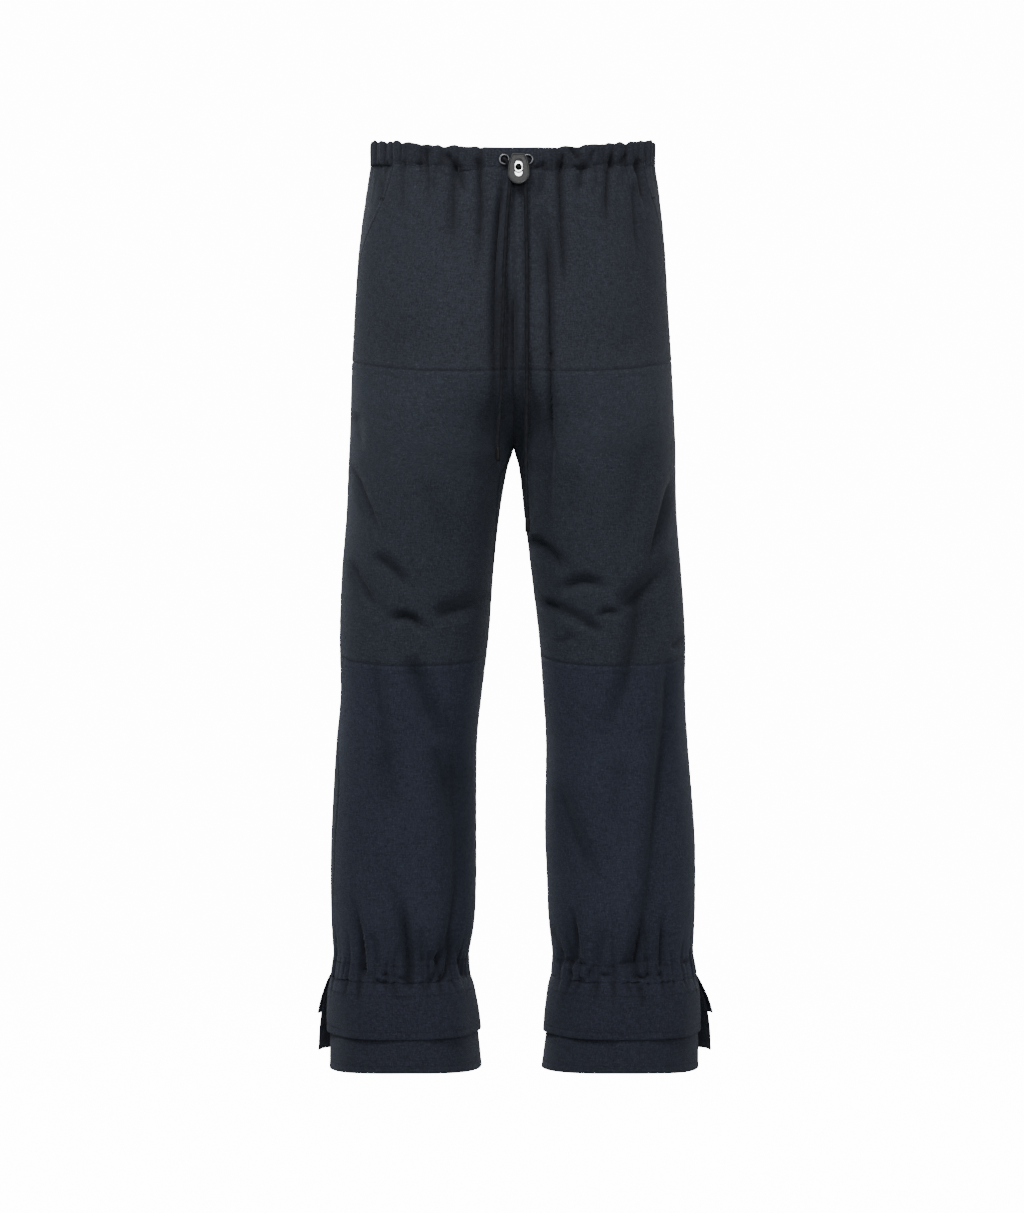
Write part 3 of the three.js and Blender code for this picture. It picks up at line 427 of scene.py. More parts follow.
def base_point(side, angle, z):
    """The form without folds. Angle 0 is the outer side, 90 the front, 180 the inner side."""
    is_front, share = facing(angle)[1:]
    hand = "left" if side > 0 else "right"
    outer = value(SECTIONS, z, "out_" + hand)
    inner = np.where(z >= CROTCH, 0, np.maximum(0, value(SECTIONS, z, "in_" + hand)))
    front, back = value(SECTIONS, z, "front"), value(SECTIONS, z, "back")
    middle, depth = (front + back) / 2, (back - front) / 2
    leg_middle, leg_width = (outer + inner) / 2, (outer - inner) / 2
    drop = rise_drop(is_front, z)
    last = 180 - np.degrees(np.arcsin(np.clip(np.sqrt(1 - drop * drop) ** (OVAL / 2), 0, 1)))
    leg_x, leg_y = oval(share * np.where(drop < 1, last, 180), leg_width, depth)
    pelvis_x, pelvis_y = oval(share * 90, outer, depth)
    seam_x = oval(last, leg_width, depth)[0] + leg_middle
    blend = smooth(drop)
    x = np.where(drop < 1, lerp(pelvis_x, leg_x + leg_middle, blend) - blend * seam_x * share**6,
                 leg_x + leg_middle)
    y = np.where(drop < 1, lerp(pelvis_y, leg_y, blend), leg_y)
    dip = course_dip(is_front, share, z)
    return np.stack((side * x, middle + np.where(is_front, -y, y), z - dip), -1)


def base_normal(side, angle, z):
    turned, is_front = facing(angle)[:2]
    over = rise_drop(is_front, z) < 1
    low = np.where(over & (turned > 180) & (turned < 181), 180.01, turned - 1)
    high = np.where(over & (turned <= 180) & (turned > 179), 180, turned + 1)
    around = base_point(side, high, z) - base_point(side, low, z)
    down = base_point(side, turned, z - 1.5) - base_point(side, turned, z + 1.5)
    normal = np.cross(around, down) * side
    return normal / np.maximum(1e-9, np.linalg.norm(normal, axis=-1, keepdims=True))


# A fold's sharp middle: its width in millimetres, and its share of the fold's depth.
CORE_WIDTH, CORE_DEPTH = 1.1, 0.26
# A fold this wide has a soft middle, and one narrower by the second number a crisp one.
SOFT_FOLD, CRISPER = 9, 4


def fold_depth(folds, x, z):
    """How deep the folds press the cloth in, at places seen from the front or the back, and how
    much painted shade each place gets, most in a crease's sharp middle."""
    total, middle = np.zeros_like(x), np.zeros_like(x)
    steps = np.linspace(0, 1, 15)
    for i in range(len(folds["depth"])):
        fold = {key: column[i] for key, column in folds.items()}
        a, b, c = (1 - steps) * (1 - 2 * steps), 4 * steps * (1 - steps), steps * (2 * steps - 1)
        px = a * fold["from_x"] + b * fold["via_x"] + c * fold["to_x"]
        pz = a * fold["from_z"] + b * fold["via_z"] + c * fold["to_z"]
        reach = 3 * fold["width"]
        near = ((x > px.min() - reach) & (x < px.max() + reach)
                & (z > pz.min() - reach) & (z < pz.max() + reach))
        if not near.any():
            continue
        qx, qz = x[near], z[near]
        best, along = np.full(qx.shape, 1e9), np.zeros(qx.shape)
        for k in range(len(steps) - 1):
            sx, sz = px[k + 1] - px[k], pz[k + 1] - pz[k]
            t = np.clip(((qx - px[k]) * sx + (qz - pz[k]) * sz) / (sx * sx + sz * sz), 0, 1)
            far = np.hypot(qx - px[k] - t * sx, qz - pz[k] - t * sz)
            closer = far < best
            best = np.where(closer, far, best)
            along = np.where(closer, steps[k] + t * steps[1], along)
        start = 1 if fold["gathered"] else smooth(0.15 + along / 0.3)
        end = smooth(0.1 + (1 - along) / 0.5)
        r = (best / fold["width"]) ** 2
        core = bell(best, CORE_WIDTH + 0.16 * fold["width"])
        crisp = 0.48 + 0.52 * smooth((SOFT_FOLD - fold["width"]) / CRISPER)
        trough = (1 - 0.35 * r) * np.exp(-r) + CORE_DEPTH * crisp * core
        total[near] += fold["depth"] * start * end * trough
        # Painted shade, deepest along a crease's sharp middle.
        middle[near] += (min(1, fold["depth"] / (6 - 2 * crisp)) * start * end
                         * (0.5 * np.exp(-0.5 * r) + 0.65 * crisp * core))
    return total, middle


# Small uneven waves that no cloth is without: long ones run down the legs, short ones cross them.
RIPPLES = np.random.default_rng(11).uniform(size=(18, 5))
RIPPLE_HEIGHT = 0.16
SHORTEST_RIPPLE, LONGEST_RIPPLE = 34, 94


def ripple(x, z):
    total = np.zeros_like(x)
    for lean, size, turn, slant, weight in RIPPLES:
        wavelength = lerp(SHORTEST_RIPPLE, LONGEST_RIPPLE, size)
        direction = math.radians(62 * (slant - 0.5))
        along = (x * math.cos(direction) + 0.45 * z * math.sin(direction)) / wavelength
        wobble = 0.35 * np.sin(z / (70 + 90 * turn) + 6 * lean)
        total += (0.4 + weight) * np.sin(2 * math.pi * (along + lean) + wobble)
    return RIPPLE_HEIGHT * total


def seeded_creases(seed, count, lengths, widths, depths):
    """Creases that a gathered edge makes: place round the edge, length, width, depth and lean."""
    dice = np.random.default_rng(seed)
    place = (np.arange(count) + dice.uniform(-0.42, 0.42, count)) / count
    return np.stack((place, dice.uniform(*lengths, count), dice.uniform(*widths, count),
                     dice.uniform(*depths, count), dice.uniform(-0.22, 0.22, count)), -1)


WAIST_CREASES = {side: seeded_creases(seed, 44, (8, 38), (1.8, 3.8), (0.4, 1.5))
                 for side, seed in ((LEFT, 3), (RIGHT, 4))}
ANKLE_CREASES = {side: seeded_creases(seed, 44, (7, 34), (1.3, 3.4), (0.8, 2.8))
                 for side, seed in ((LEFT, 5), (RIGHT, 6))}
WAIST_LENGTH, ANKLE_LENGTH = 470, 520
# Creases run out faster down the cuffs than up the legs.
CUFF_SHORTER = 1.7
# How far the gathers' waves run out of each casing.
BELOW_WAIST, ABOVE_ANKLE, BELOW_ANKLE = 17, 15, 13


def crease_depth(creases, around, length, away):
    """How deep the creases are, at a share of the way round and this far from the gathers."""
    total = np.zeros_like(around)
    for place, reach, width, depth, lean in creases:
        aside = (np.mod(around - place + 0.5, 1) - 0.5) * length - lean * away
        total += depth * bell(aside, width) * bell(away, reach)
    return total


def waist_wave(side, share, is_front):
    """Uneven waves round the waist: their spacing drifts, and some of them nearly fade out."""
    phase = share + 0.03 * np.sin(11 * share + side) + 0.012 * np.sin(31 * share + 2 * side)
    waves = np.where(is_front, WAIST_GATHERS["front"], WAIST_GATHERS["back"])
    height = 0.6 + 0.4 * np.sin(23 * share + 3 * side)
    return height * np.cos(2 * np.pi * waves * phase) + 0.35 * np.cos(17 * share + 2 * side)


def half_way_round(is_front, share):
    """The share of the way from the centre front round the side to the centre back."""
    return np.where(is_front, 0.5 - share / 2, 0.5 + share / 2)


def leg_way_round(angle):
    return np.mod(-angle, 360) / 360


def ankle_creases(side, around, away):
    return crease_depth(ANKLE_CREASES[side], around, ANKLE_LENGTH, away)


def waist_creases(side, is_front, share, away):
    around = half_way_round(is_front, share)
    return crease_depth(WAIST_CREASES[side], around, WAIST_LENGTH, away)


def ankle_wave(side, around):
    phase = ANKLE_GATHERS["waves"] * around + 0.3 * np.sin(2 * np.pi * 3 * around + side)
    height = 0.6 + 0.4 * np.sin(2 * np.pi * 5 * around + 2 * side)
    return height * np.cos(2 * np.pi * phase) + 0.25 * np.cos(2 * np.pi * 9 * around + side)


def waist_calm(side, angle, is_front):
    """The waist lies flat beside the eyelets and is gathered from there on."""
    across = np.abs(base_point(side, angle, np.zeros_like(angle))[..., 0])
    from_eyelets = smooth((across - WAIST_GATHERS["flat_front"]) / 16)
    return np.where(is_front, from_eyelets, smooth(across / 14))


def gather_waves(side, angle, z):
    """Fine waves that run down from the waist casing, and up and down from the ankle casing."""
    is_front, share = facing(angle)[1:]
    calm = waist_calm(side, angle + 0 * z, is_front)
    under_waist = np.clip(WAIST_LOW - z, 0, None)
    over_ankle = np.clip(z - ANKLE_TOP, 0, None)
    under_ankle = np.clip(ANKLE_LOW - z, 0, None)
    waist = 0.9 * waist_wave(side, share, is_front) * calm * np.exp(-under_waist / BELOW_WAIST)
    around = leg_way_round(angle)
    ankle = ankle_wave(side, around)
    above = np.exp(-over_ankle / ABOVE_ANKLE) * (z > ANKLE_LOW)
    below = np.exp(-under_ankle / BELOW_ANKLE) * (z <= ANKLE_LOW)
    creases = calm * waist_creases(side, is_front, share, under_waist)
    over = ankle_creases(side, around, over_ankle) * (z > ANKLE_LOW)
    under = ankle_creases(side, around, CUFF_SHORTER * under_ankle) * (z <= ANKLE_LOW)
    return 0.6 * waist + 0.6 * ankle * (above + below) - creases - over - 0.6 * under


def cloth_shape(side, angle, z, out=0.0, fine=1.0):
    """Points of the outer face with its folds, moved out by `out`, and how creased they are, which
    the wool shows as painted shade.
    """
    is_front, share = facing(angle)[1:]
    point = base_point(side, angle, z)
    x, height = point[..., 0], point[..., 2]
    fade = smooth(share / 0.1) * lerp(1, smooth((1 - share) / 0.1), smooth(rise_drop(is_front, z)))
    sink, crease = np.zeros_like(x), np.zeros_like(x)
    for part, folds in ((is_front, FRONT_FOLDS), (~is_front, BACK_FOLDS)):
        part = part & np.ones(x.shape, bool)
        if part.any():
            sink[part], crease[part] = fold_depth(folds, x[part], height[part])
    gathered = gather_waves(side, angle, z) * fine
    out = out - sink * fade + ripple(x, height) * fade * fine + gathered
    # Painted shade: darker in the folds and where the gathers press the cloth in.
    crease = np.clip(crease * fade + 0.42 * np.clip(-gathered - 0.4, 0, 1.4), 0, 1)
    return point + base_normal(side, angle, z) * np.expand_dims(out, -1), crease


def cloth_point(side, angle, z, out=0.0):
    return cloth_shape(side, angle, z, out)[0]


CLEAR = 0.02


def keep_clear(points, side, is_front, z):
    """Holds the cloth to its own side of the centre seams and of the seam under the crotch."""
    above = z >= CROTCH - 0.5
    own_side = side * np.maximum(CLEAR, side * points[..., 0])
    points[..., 0] = np.where(above, own_side, points[..., 0])
    middle = (value(SECTIONS, z, "front") + value(SECTIONS, z, "back")) / 2
    held = above & (rise_drop(is_front, z) > 0.8)
    limited = np.where(is_front, np.minimum(middle - CLEAR, points[..., 1]),
                       np.maximum(middle + CLEAR, points[..., 1]))
    points[..., 1] = np.where(held, limited, points[..., 1])
    return points


# Editing and shading of any piece


def deselect():
    if bpy.context.object and bpy.context.object.mode != "OBJECT":
        bpy.ops.object.mode_set(mode="OBJECT")
    bpy.ops.object.select_all(action="DESELECT")


def hold(piece):
    deselect()
    piece.select_set(True)
    bpy.context.view_layer.objects.active = piece


def edit(piece):
    hold(piece)
    bpy.ops.object.mode_set(mode="EDIT")
    return bmesh.from_edit_mesh(piece.data)


def new_piece(name):
    piece = bpy.context.object
    piece.name = piece.data.name = name
    return piece


def face_outwards():
    """Ends an edit with every face turned outwards."""
    bpy.ops.mesh.select_all(action="SELECT")
    bpy.ops.mesh.normals_make_consistent(inside=False)
    bpy.ops.object.mode_set(mode="OBJECT")


def weld(piece, with_ends):
    """Joins a tube along its seam, and closes its two ends."""
    edit(piece)
    bpy.ops.mesh.select_all(action="SELECT")
    bpy.ops.mesh.remove_doubles(threshold=MERGE)
    if with_ends:
        bpy.ops.mesh.select_mode(type="VERT")
        bpy.ops.mesh.select_all(action="DESELECT")
        bpy.ops.mesh.select_non_manifold()
        bpy.ops.mesh.edge_face_add()
    face_outwards()


def finish_modifier(piece, kind, **settings):
    hold(piece)
    bpy.ops.object.modifier_add(type=kind)
    modifier = piece.modifiers[-1]
    for name, setting in settings.items():
        setattr(modifier, name, setting)
    bpy.ops.object.modifier_apply(modifier=modifier.name)


def smooth_shade(piece, degrees=45):
    hold(piece)
    bpy.ops.object.shade_smooth_by_angle(angle=math.radians(degrees))


# Meshes of cloth


def run_length(points, axis=0):
    """How far each point is from the first one, along one axis of a grid or along a path."""
    step = np.linalg.norm(np.diff(points, axis=axis), axis=-1)
    start = np.zeros_like(np.take(step, [0], axis))
    return np.concatenate((start, np.cumsum(step, axis=axis)), axis=axis)


def mapped_grid(name, points, map_name, places):
    """A grid of quads through the given points, with a map of places."""
    rows, columns = points.shape[:2]
    deselect()
    bpy.ops.mesh.primitive_grid_add(x_subdivisions=columns - 1, y_subdivisions=rows - 1, size=1)
    piece = new_piece(name)
    mesh = piece.data
    mesh.vertices.foreach_set("co", (points * MM).ravel())
    corner = np.zeros(len(mesh.loops), int)
    mesh.loops.foreach_get("vertex_index", corner)
    layer = mesh.uv_layers[0]
    layer.name = map_name
    layer.data.foreach_set("uv", places.reshape(-1, 2)[corner].astype(np.float32).ravel())
    return piece


def cloth_grid(name, points, seam, thickness, crease):
    """A sheet through a grid of points, with its weave's coordinates and its painted shade along
    seams and in creases, thickened inwards.
    """
    rows, columns = points.shape[:2]
    across = run_length(points, 1)
    across = across - across[:, columns // 2 : columns // 2 + 1]
    down = np.linalg.norm(np.diff(points, axis=0), axis=-1).mean(axis=1)
    down = np.broadcast_to(np.concatenate(([0], np.cumsum(down)))[:, None], (rows, columns))
    piece = mapped_grid(name, points, "weave", np.stack((across, down), -1) * MM)
    # Painted shade along seams and in creases, kept on the points for the wool's colour.
    for kind, amount in (("seam", seam), ("crease", crease)):
        layer = piece.data.attributes.new(kind, "FLOAT", "POINT")
        layer.data.foreach_set("value", amount.astype(np.float32).ravel())
    piece.data.update()
    if thickness:
        finish_modifier(piece, "SOLIDIFY", thickness=thickness * MM, offset=-1,
                        use_even_offset=True)
    smooth_shade(piece)
    return piece


def edge_distances(points):
    """How far each point of a grid is from its first and last column, and its top and low row."""
    from_first, from_top = run_length(points, 1), run_length(points, 0)
    return from_first, from_first[:, -1:] - from_first, from_top, from_top[-1:] - from_top


POCKET_STITCH = 6
BAR_TACKS = (-46, -198)
SEAM_LAP = 0.2
SEAM_GROOVE = 0.75
SEAM_WIDTH = 1.3
SEAM_SWELL = 0.25
SEAM_ALLOWANCE = 8
PUCKER = 0.12
# A mouth's first edge is left out of the seams by counting it this much further away.
FREE_EDGE = 90


def panel(name, side, is_front, zs, columns, angle_from, angle_to, sunk=None, free_above=None):
    """A panel between two seams, sunk a little along them, with small puckers. Its first edge is
    free, as a pocket mouth is, above the level `free_above`."""
    z = np.repeat(np.asarray(zs, float)[:, None], columns + 1, 1)
    share = np.linspace(0, 1, columns + 1)[None, :]
    first, last = angle_from(z[:, :1]), angle_to(z[:, :1])
    closed = z[:, :1] >= CROTCH
    first = np.where(closed & (np.abs(first - 180) < 1) & (not is_front), 180.01, first)
    last = np.where(closed & (np.abs(last - 180) < 1) & is_front, 180, last)
    angle = first + (last - first) * share
    out = np.zeros_like(angle) if sunk is None else -sunk(share + 0 * angle)
    if not is_front:
        out[:, -1] -= 0.5
        out[:, 0] -= np.where(closed[:, 0], 0, 0.5)
    points = keep_clear(cloth_point(side, angle, z, out), side, is_front, z)
    from_first, from_last, from_top, from_low = edge_distances(points)
    free = 0 if free_above is None else smooth((z - free_above) / 3)
    open_mouth = free * smooth((BAR_TACKS[0] - z) / 3)
    sideways = np.minimum(from_first + FREE_EDGE * free, from_last)
    lengthways = np.minimum(from_top, from_low)
    nearest = np.minimum(sideways, lengthways)
    gathered = np.clip(smooth((z - WAIST_LOW + 5) / 4) + smooth((ANKLE_TOP + 5 - z) / 4), 0, 1)
    quiet = 1 - 0.7 * gathered
    groove = quiet * (SEAM_SWELL * bell(nearest - SEAM_ALLOWANCE / 2, 2.6)
                      - SEAM_GROOVE * bell(nearest, SEAM_WIDTH))
    groove -= 0.5 * free * bell(from_first - POCKET_STITCH, SEAM_WIDTH)
    groove -= free * (1.3 - 0.5 * open_mouth) * bell(from_first, SEAM_WIDTH)
    for distance, along in ((sideways, points[..., 2]), (lengthways, points[..., 0])):
        uneven = (np.sin(along / 1.9 + 3 * np.sin(along / 17))
                  + 0.7 * np.sin(along / 4.3 + 2 * np.sin(along / 29)))
        groove += PUCKER * uneven * bell(distance - SEAM_ALLOWANCE / 2, 5)
    points, crease = cloth_shape(side, angle, z, out + groove)
    points = keep_clear(points, side, is_front, z)
    centre, away = (-1, from_last) if is_front else (0, from_first)
    centred = closed & (np.abs(angle[:, centre, None] - 180) < 1)
    shift = -side * SEAM_LAP - points[:, centre, 0:1]
    points[..., 0] += np.where(centred, shift * bell(away, 5), 0)
    # Painted shade along the seams, less where the cloth is gathered.
    seam = quiet * bell(nearest, 1.1)
    if side < 0:
        points, seam, crease = points[:, ::-1], seam[:, ::-1], crease[:, ::-1]
    return cloth_grid(name, points, seam, CLOTH, crease)


def levels(top, low, step):
    return np.linspace(top, low, max(2, round((top - low) / step)) + 1)


def crotch_levels(top, low, step):
    """Levels that come closer together where the rise turns under the crotch."""
    zs = levels(top, low, step)
    near = CROTCH + np.array([6, 3.5, 2, 1, 0.4, 0, -0.6, -2])
    return np.sort(np.concatenate((zs[np.abs(zs - CROTCH) > 7], near)))[::-1]


# Steps between the rows of the front, the back and the pocket facings, in millimetres.
FRONT_STEP, BACK_STEP, FACING_STEP = 2.8, 3.2, 4
PANEL_TOP, PANEL_LOW = WAIST_LOW + 2, ANKLE_TOP - 2
# How far a pocket facing runs on behind the front, in degrees round the hip.
FACING_UNDER = 14


def mouth(hand, z):
    return value(MOUTH, z, hand)


def make_panels(hand):
    side = SIDES[hand]
    hip_z = np.concatenate((levels(PANEL_TOP, MOUTH_LOW + 0.3, FRONT_STEP),
                            levels(MOUTH_LOW - 0.3, HIP_SEAM, FRONT_STEP)))
    thigh_z = crotch_levels(HIP_SEAM, KNEE_SEAM, FRONT_STEP)
    shin_z = levels(KNEE_SEAM, PANEL_LOW, FRONT_STEP)
    back_z = np.concatenate((levels(PANEL_TOP, HIP_SEAM, BACK_STEP),
                             crotch_levels(HIP_SEAM, KNEE_SEAM, BACK_STEP)[1:],
                             levels(KNEE_SEAM, PANEL_LOW, BACK_STEP)[1:]))
    facing_z = levels(PANEL_TOP, MOUTH_LOW + 1.2, FACING_STEP)

    def outer(z):
        return seam_turn(z, "side_" + hand)

    def inner(z):
        return 180 - seam_turn(z, "inner_" + hand)

    panels = {
        "front_hip": (True, hip_z, 92, lambda z: np.where(z > MOUTH_LOW, mouth(hand, z), 0),
                      lambda z: 180 + 0 * z, None, MOUTH_LOW),
        "front_thigh": (True, thigh_z, 96, outer, inner),
        "front_shin": (True, shin_z, 90, outer, inner),
        "back_leg": (False, back_z, 96, lambda z: inner(z) - np.where(z < CROTCH - 3, 0.5, 0),
                     lambda z: 360.5 + outer(z)),
        "pocket_facing": (True, facing_z, 26, lambda z: 0 * z,
                          lambda z: mouth(hand, z) + FACING_UNDER,
                          lambda share: (CLOTH + 0.5) * smooth(share / 0.45)),
    }
    return {kind: panel(f"wool_{kind}_{hand}", side, *made) for kind, made in panels.items()}


# Gathered casings: a section, run round the waist or an ankle


def closed_curve(points, count):
    """Evenly stepped points on a smooth closed curve through the given ones."""
    points = np.asarray(points, float)
    n = len(points)
    t = np.linspace(0, n, count, endpoint=False)
    i = t.astype(int)
    f = (t - i)[:, None]
    p0, p1, p2, p3 = (points[(i + k) % n] for k in (-1, 0, 1, 2))
    return 0.5 * (2 * p1 + (p2 - p0) * f + (2 * p0 - 5 * p1 + 4 * p2 - p3) * f**2
                  + (3 * p1 - p0 - 3 * p2 + p3) * f**3)


# Columns: how far out, how far up from the lower edge, and the share of the gathers' height.
WAIST_SECTION = ((-0.2, -0.06, 0.7), (0.6, 0.2, 0.9), (1.2, 0.62, 1.0), (0.7, 0.95, 0.8),
                 (-1.2, 1.0, 0.4), (-2.9, 0.8, 0.2), (-3.0, 0.4, 0.2), (-2.5, -0.06, 0.2))
ANKLE_SECTION = ((1.6, -0.06, 0.7), (1.6, 0.2, 0.9), (0.7, 0.72, 1.0), (-0.4, 1.04, 0.8),
                 (-2.4, 0.95, 0.2), (-3.0, 0.5, 0.2), (-1.6, 0.02, 0.3))


def tube_grid(name, points, crease, closed_round):
    """A closed tube through loops of section points, with its seams and ends welded."""
    def wrap(grid):
        grid = np.concatenate((grid, grid[:, :1]), axis=1)
        return np.concatenate((grid, grid[:1]), axis=0) if closed_round else grid

    piece = cloth_grid(name, wrap(points), np.zeros(wrap(crease).shape), 0, wrap(crease))
    weld(piece, not closed_round)
    smooth_shade(piece)
    return piece


def waist_casing_surface(hand, around, out, up, part):
    """Points of the waist casing, from the centre front round the side to the centre back, and
    their painted shade.
    """
    side = SIDES[hand]
    around = around + 0 * np.asarray(up)
    is_front = around <= 0.5
    share = np.where(is_front, 1 - 2 * around, 2 * around - 1)
    angle = np.where(is_front, 180 * share, 360 - np.minimum(179.99, 180 * share))
    wave = waist_wave(side, share, is_front)
    calm = waist_calm(side, angle, is_front)
    z = lerp(WAIST_LOW, WAIST_TOP, up) + 0 * angle
    crease = calm * waist_creases(side, is_front, share, 0.35 * (z - WAIST_LOW))
    out = out + part * (0.5 * WAIST_GATHERS["height"] * wave * calm
                        - WAIST_GATHERS["crease"] * crease)
    points, fold_shade = cloth_shape(side, angle, z, out, fine=0.0)
    points[..., 2] += up * (WAIST_GATHERS["scallop"] * wave * calm
                            - WAIST_GATHERS["crease_pull"] * crease)
    # Painted shade: darker in the folds and creases, lighter on the crests of the gathers.
    shade = np.clip(fold_shade + 0.5 * crease - 0.16 * wave * calm, 0, 1)
    return keep_clear(points, side, is_front, z), shade


def ankle_casing_surface(hand, around, out, up, part):
    """Points of an ankle casing, all round the leg, and their painted shade."""
    side = SIDES[hand]
    around = around + 0 * np.asarray(up)
    wave = ankle_wave(side, around)
    z = lerp(ANKLE_LOW, ANKLE_TOP, up) + 0 * around
    crease = ankle_creases(side, around, 0.4 * np.abs(z - ANKLE_TOP))
    out = out + part * (0.5 * ANKLE_GATHERS["height"] * wave - ANKLE_GATHERS["crease"] * crease)
    points, fold_shade = cloth_shape(side, -360 * around, z, out, fine=0.0)
    pull = ANKLE_GATHERS["scallop"] * wave + ANKLE_GATHERS["crease_pull"] * crease
    low_edge = (1 - np.clip(up, 0, 1)) * pull
    points[..., 2] += np.where(part > 0.25, low_edge, 0)
    # Painted shade: darker in the folds and creases, lighter on the crests of the gathers.
    return points, np.clip(fold_shade + 0.28 * crease - 0.12 * wave, 0, 1)


def make_casing(hand, kind):
    """A waist casing is half a ring that laps the other half, and an ankle casing a whole ring."""
    if kind == "waist":
        section, surface = closed_curve(WAIST_SECTION, 26), waist_casing_surface
        around = np.linspace(0, 1, 381)
    else:
        section, surface = closed_curve(ANKLE_SECTION, 22), ankle_casing_surface
        around = np.arange(300) / 300
    points, crease = surface(hand, around[:, None], *(section[None, :, k] for k in range(3)))
    if kind == "waist":
        points[[0, -1], :, 0] = -SIDES[hand] * SEAM_LAP
    return tube_grid(f"wool_{kind}_casing_{hand}", points, crease, kind == "ankle")


# Cuff flounces: how far out of the form each level hangs, how far its back edge stands out and
# up, and how far it droops at the sides.
FLOUNCE_COLUMNS = "z out flare lift droop"
FLOUNCES = {
    "upper": table(FLOUNCE_COLUMNS, (ANKLE_LOW + 1, 0.4, 0.5, 0, 0), (-914, 2.2, 2.4, 0.5, 0),
                   (-926, 4.0, 5.0, 2, 0), (-948, 3.8, 10.5, 7, 0.5), (UPPER_HEM, 2.8, 15, 14, 1)),
    "lower": table(FLOUNCE_COLUMNS, (ANKLE_LOW - 3, -2.6, 0, 0, 0), (-935, 0.4, 9, 1, 0),
                   (UPPER_HEM, 0.2, 14.5, 5, 2), (LOWER_HEM, 1.8, 16, 9, 5.5)),
}
SLIT = {"front": 4, "back": 352, "flare_from": 285}
HEM_WAVES = {"upper": 2.0, "lower": 0.8}
WAVES_ROUND, WAVES_START = 6, 40
HEM_TURNED, SLIT_TURNED = 8, 7


def flounce_surface(hand, tier, angle, z, inwards=0.0):
    side = SIDES[hand]
    rows = FLOUNCES[tier]
    share = smooth((angle - SLIT["flare_from"]) / (SLIT["back"] - SLIT["flare_from"]))
    stand = value(rows, z, "flare") * share
    hang = smooth((ANKLE_LOW - z) / 60)
    wave = HEM_WAVES[tier] * hang * np.cos(np.radians(WAVES_ROUND * angle + WAVES_START * side))
    points = cloth_point(side, angle, z, value(rows, z, "out") + stand + wave - inwards)
    to_sides = np.cos(np.radians(angle)) ** 2 * (1 - share)
    points[..., 2] += value(rows, z, "lift") * share - value(rows, z, "droop") * to_sides
    return points


def make_flounce(hand, tier):
    side = SIDES[hand]
    rows = FLOUNCES[tier]["z"]
    zs = levels(rows[0], rows[-1], 2.4)
    angles = np.linspace(SLIT["front"], SLIT["back"], 221)
    angle, z = np.meshgrid(angles, zs)
    points = flounce_surface(hand, tier, angle, z)
    from_first, from_last = edge_distances(points)[:2]
    sideways = np.minimum(from_first, from_last)
    from_hem = z - rows[-1]
    inset = 0.35 * bell(from_hem - HEM_TURNED, 1.4) + 0.3 * bell(sideways - SLIT_TURNED, 1.4)
    points = flounce_surface(hand, tier, angle, z, inset)
    below = CUFF_SHORTER * np.clip(ANKLE_LOW - z, 0, None)
    # Painted shade: from the ankle's creases and the cloth's folds, and along the turned hem and
    # slit edges.
    crease = 0.4 * ankle_creases(side, leg_way_round(angle), below) + cloth_shape(side, angle, z)[1]
    seam = bell(np.minimum(from_hem, sideways), 1.6)
    if side < 0:
        points, seam, crease = points[:, ::-1], seam[:, ::-1], crease[:, ::-1]
    crease = np.clip(crease, 0, 1)
    return cloth_grid(f"wool_cuff_{tier}_{hand}", points, seam, FLOUNCE_CLOTH, crease)


# Materials


def math_node(tree, operation, *values):
    node = tree.nodes.new("ShaderNodeMath")
    node.operation = operation
    for place, given in zip(node.inputs, values):
        put(tree, place, given)
    return Signal(tree, node.outputs[0])


class Signal:
    """A socket that adds Math nodes when it is used in an expression."""

    def __init__(self, tree, socket):
        self.tree, self.socket = tree, socket

    def math(self, operation, *others):
        return math_node(self.tree, operation, self, *others)

    def __add__(self, other):
        return self.math("ADD", other)

    def __sub__(self, other):
        return self.math("SUBTRACT", other)

    def __rsub__(self, other):
        return math_node(self.tree, "SUBTRACT", other, self)

    def __mul__(self, other):
        return self.math("MULTIPLY", other)

    __radd__, __rmul__ = __add__, __mul__


def put(tree, socket, given):
    if isinstance(given, Signal):
        tree.links.new(given.socket, socket)
    else:
        socket.default_value = given


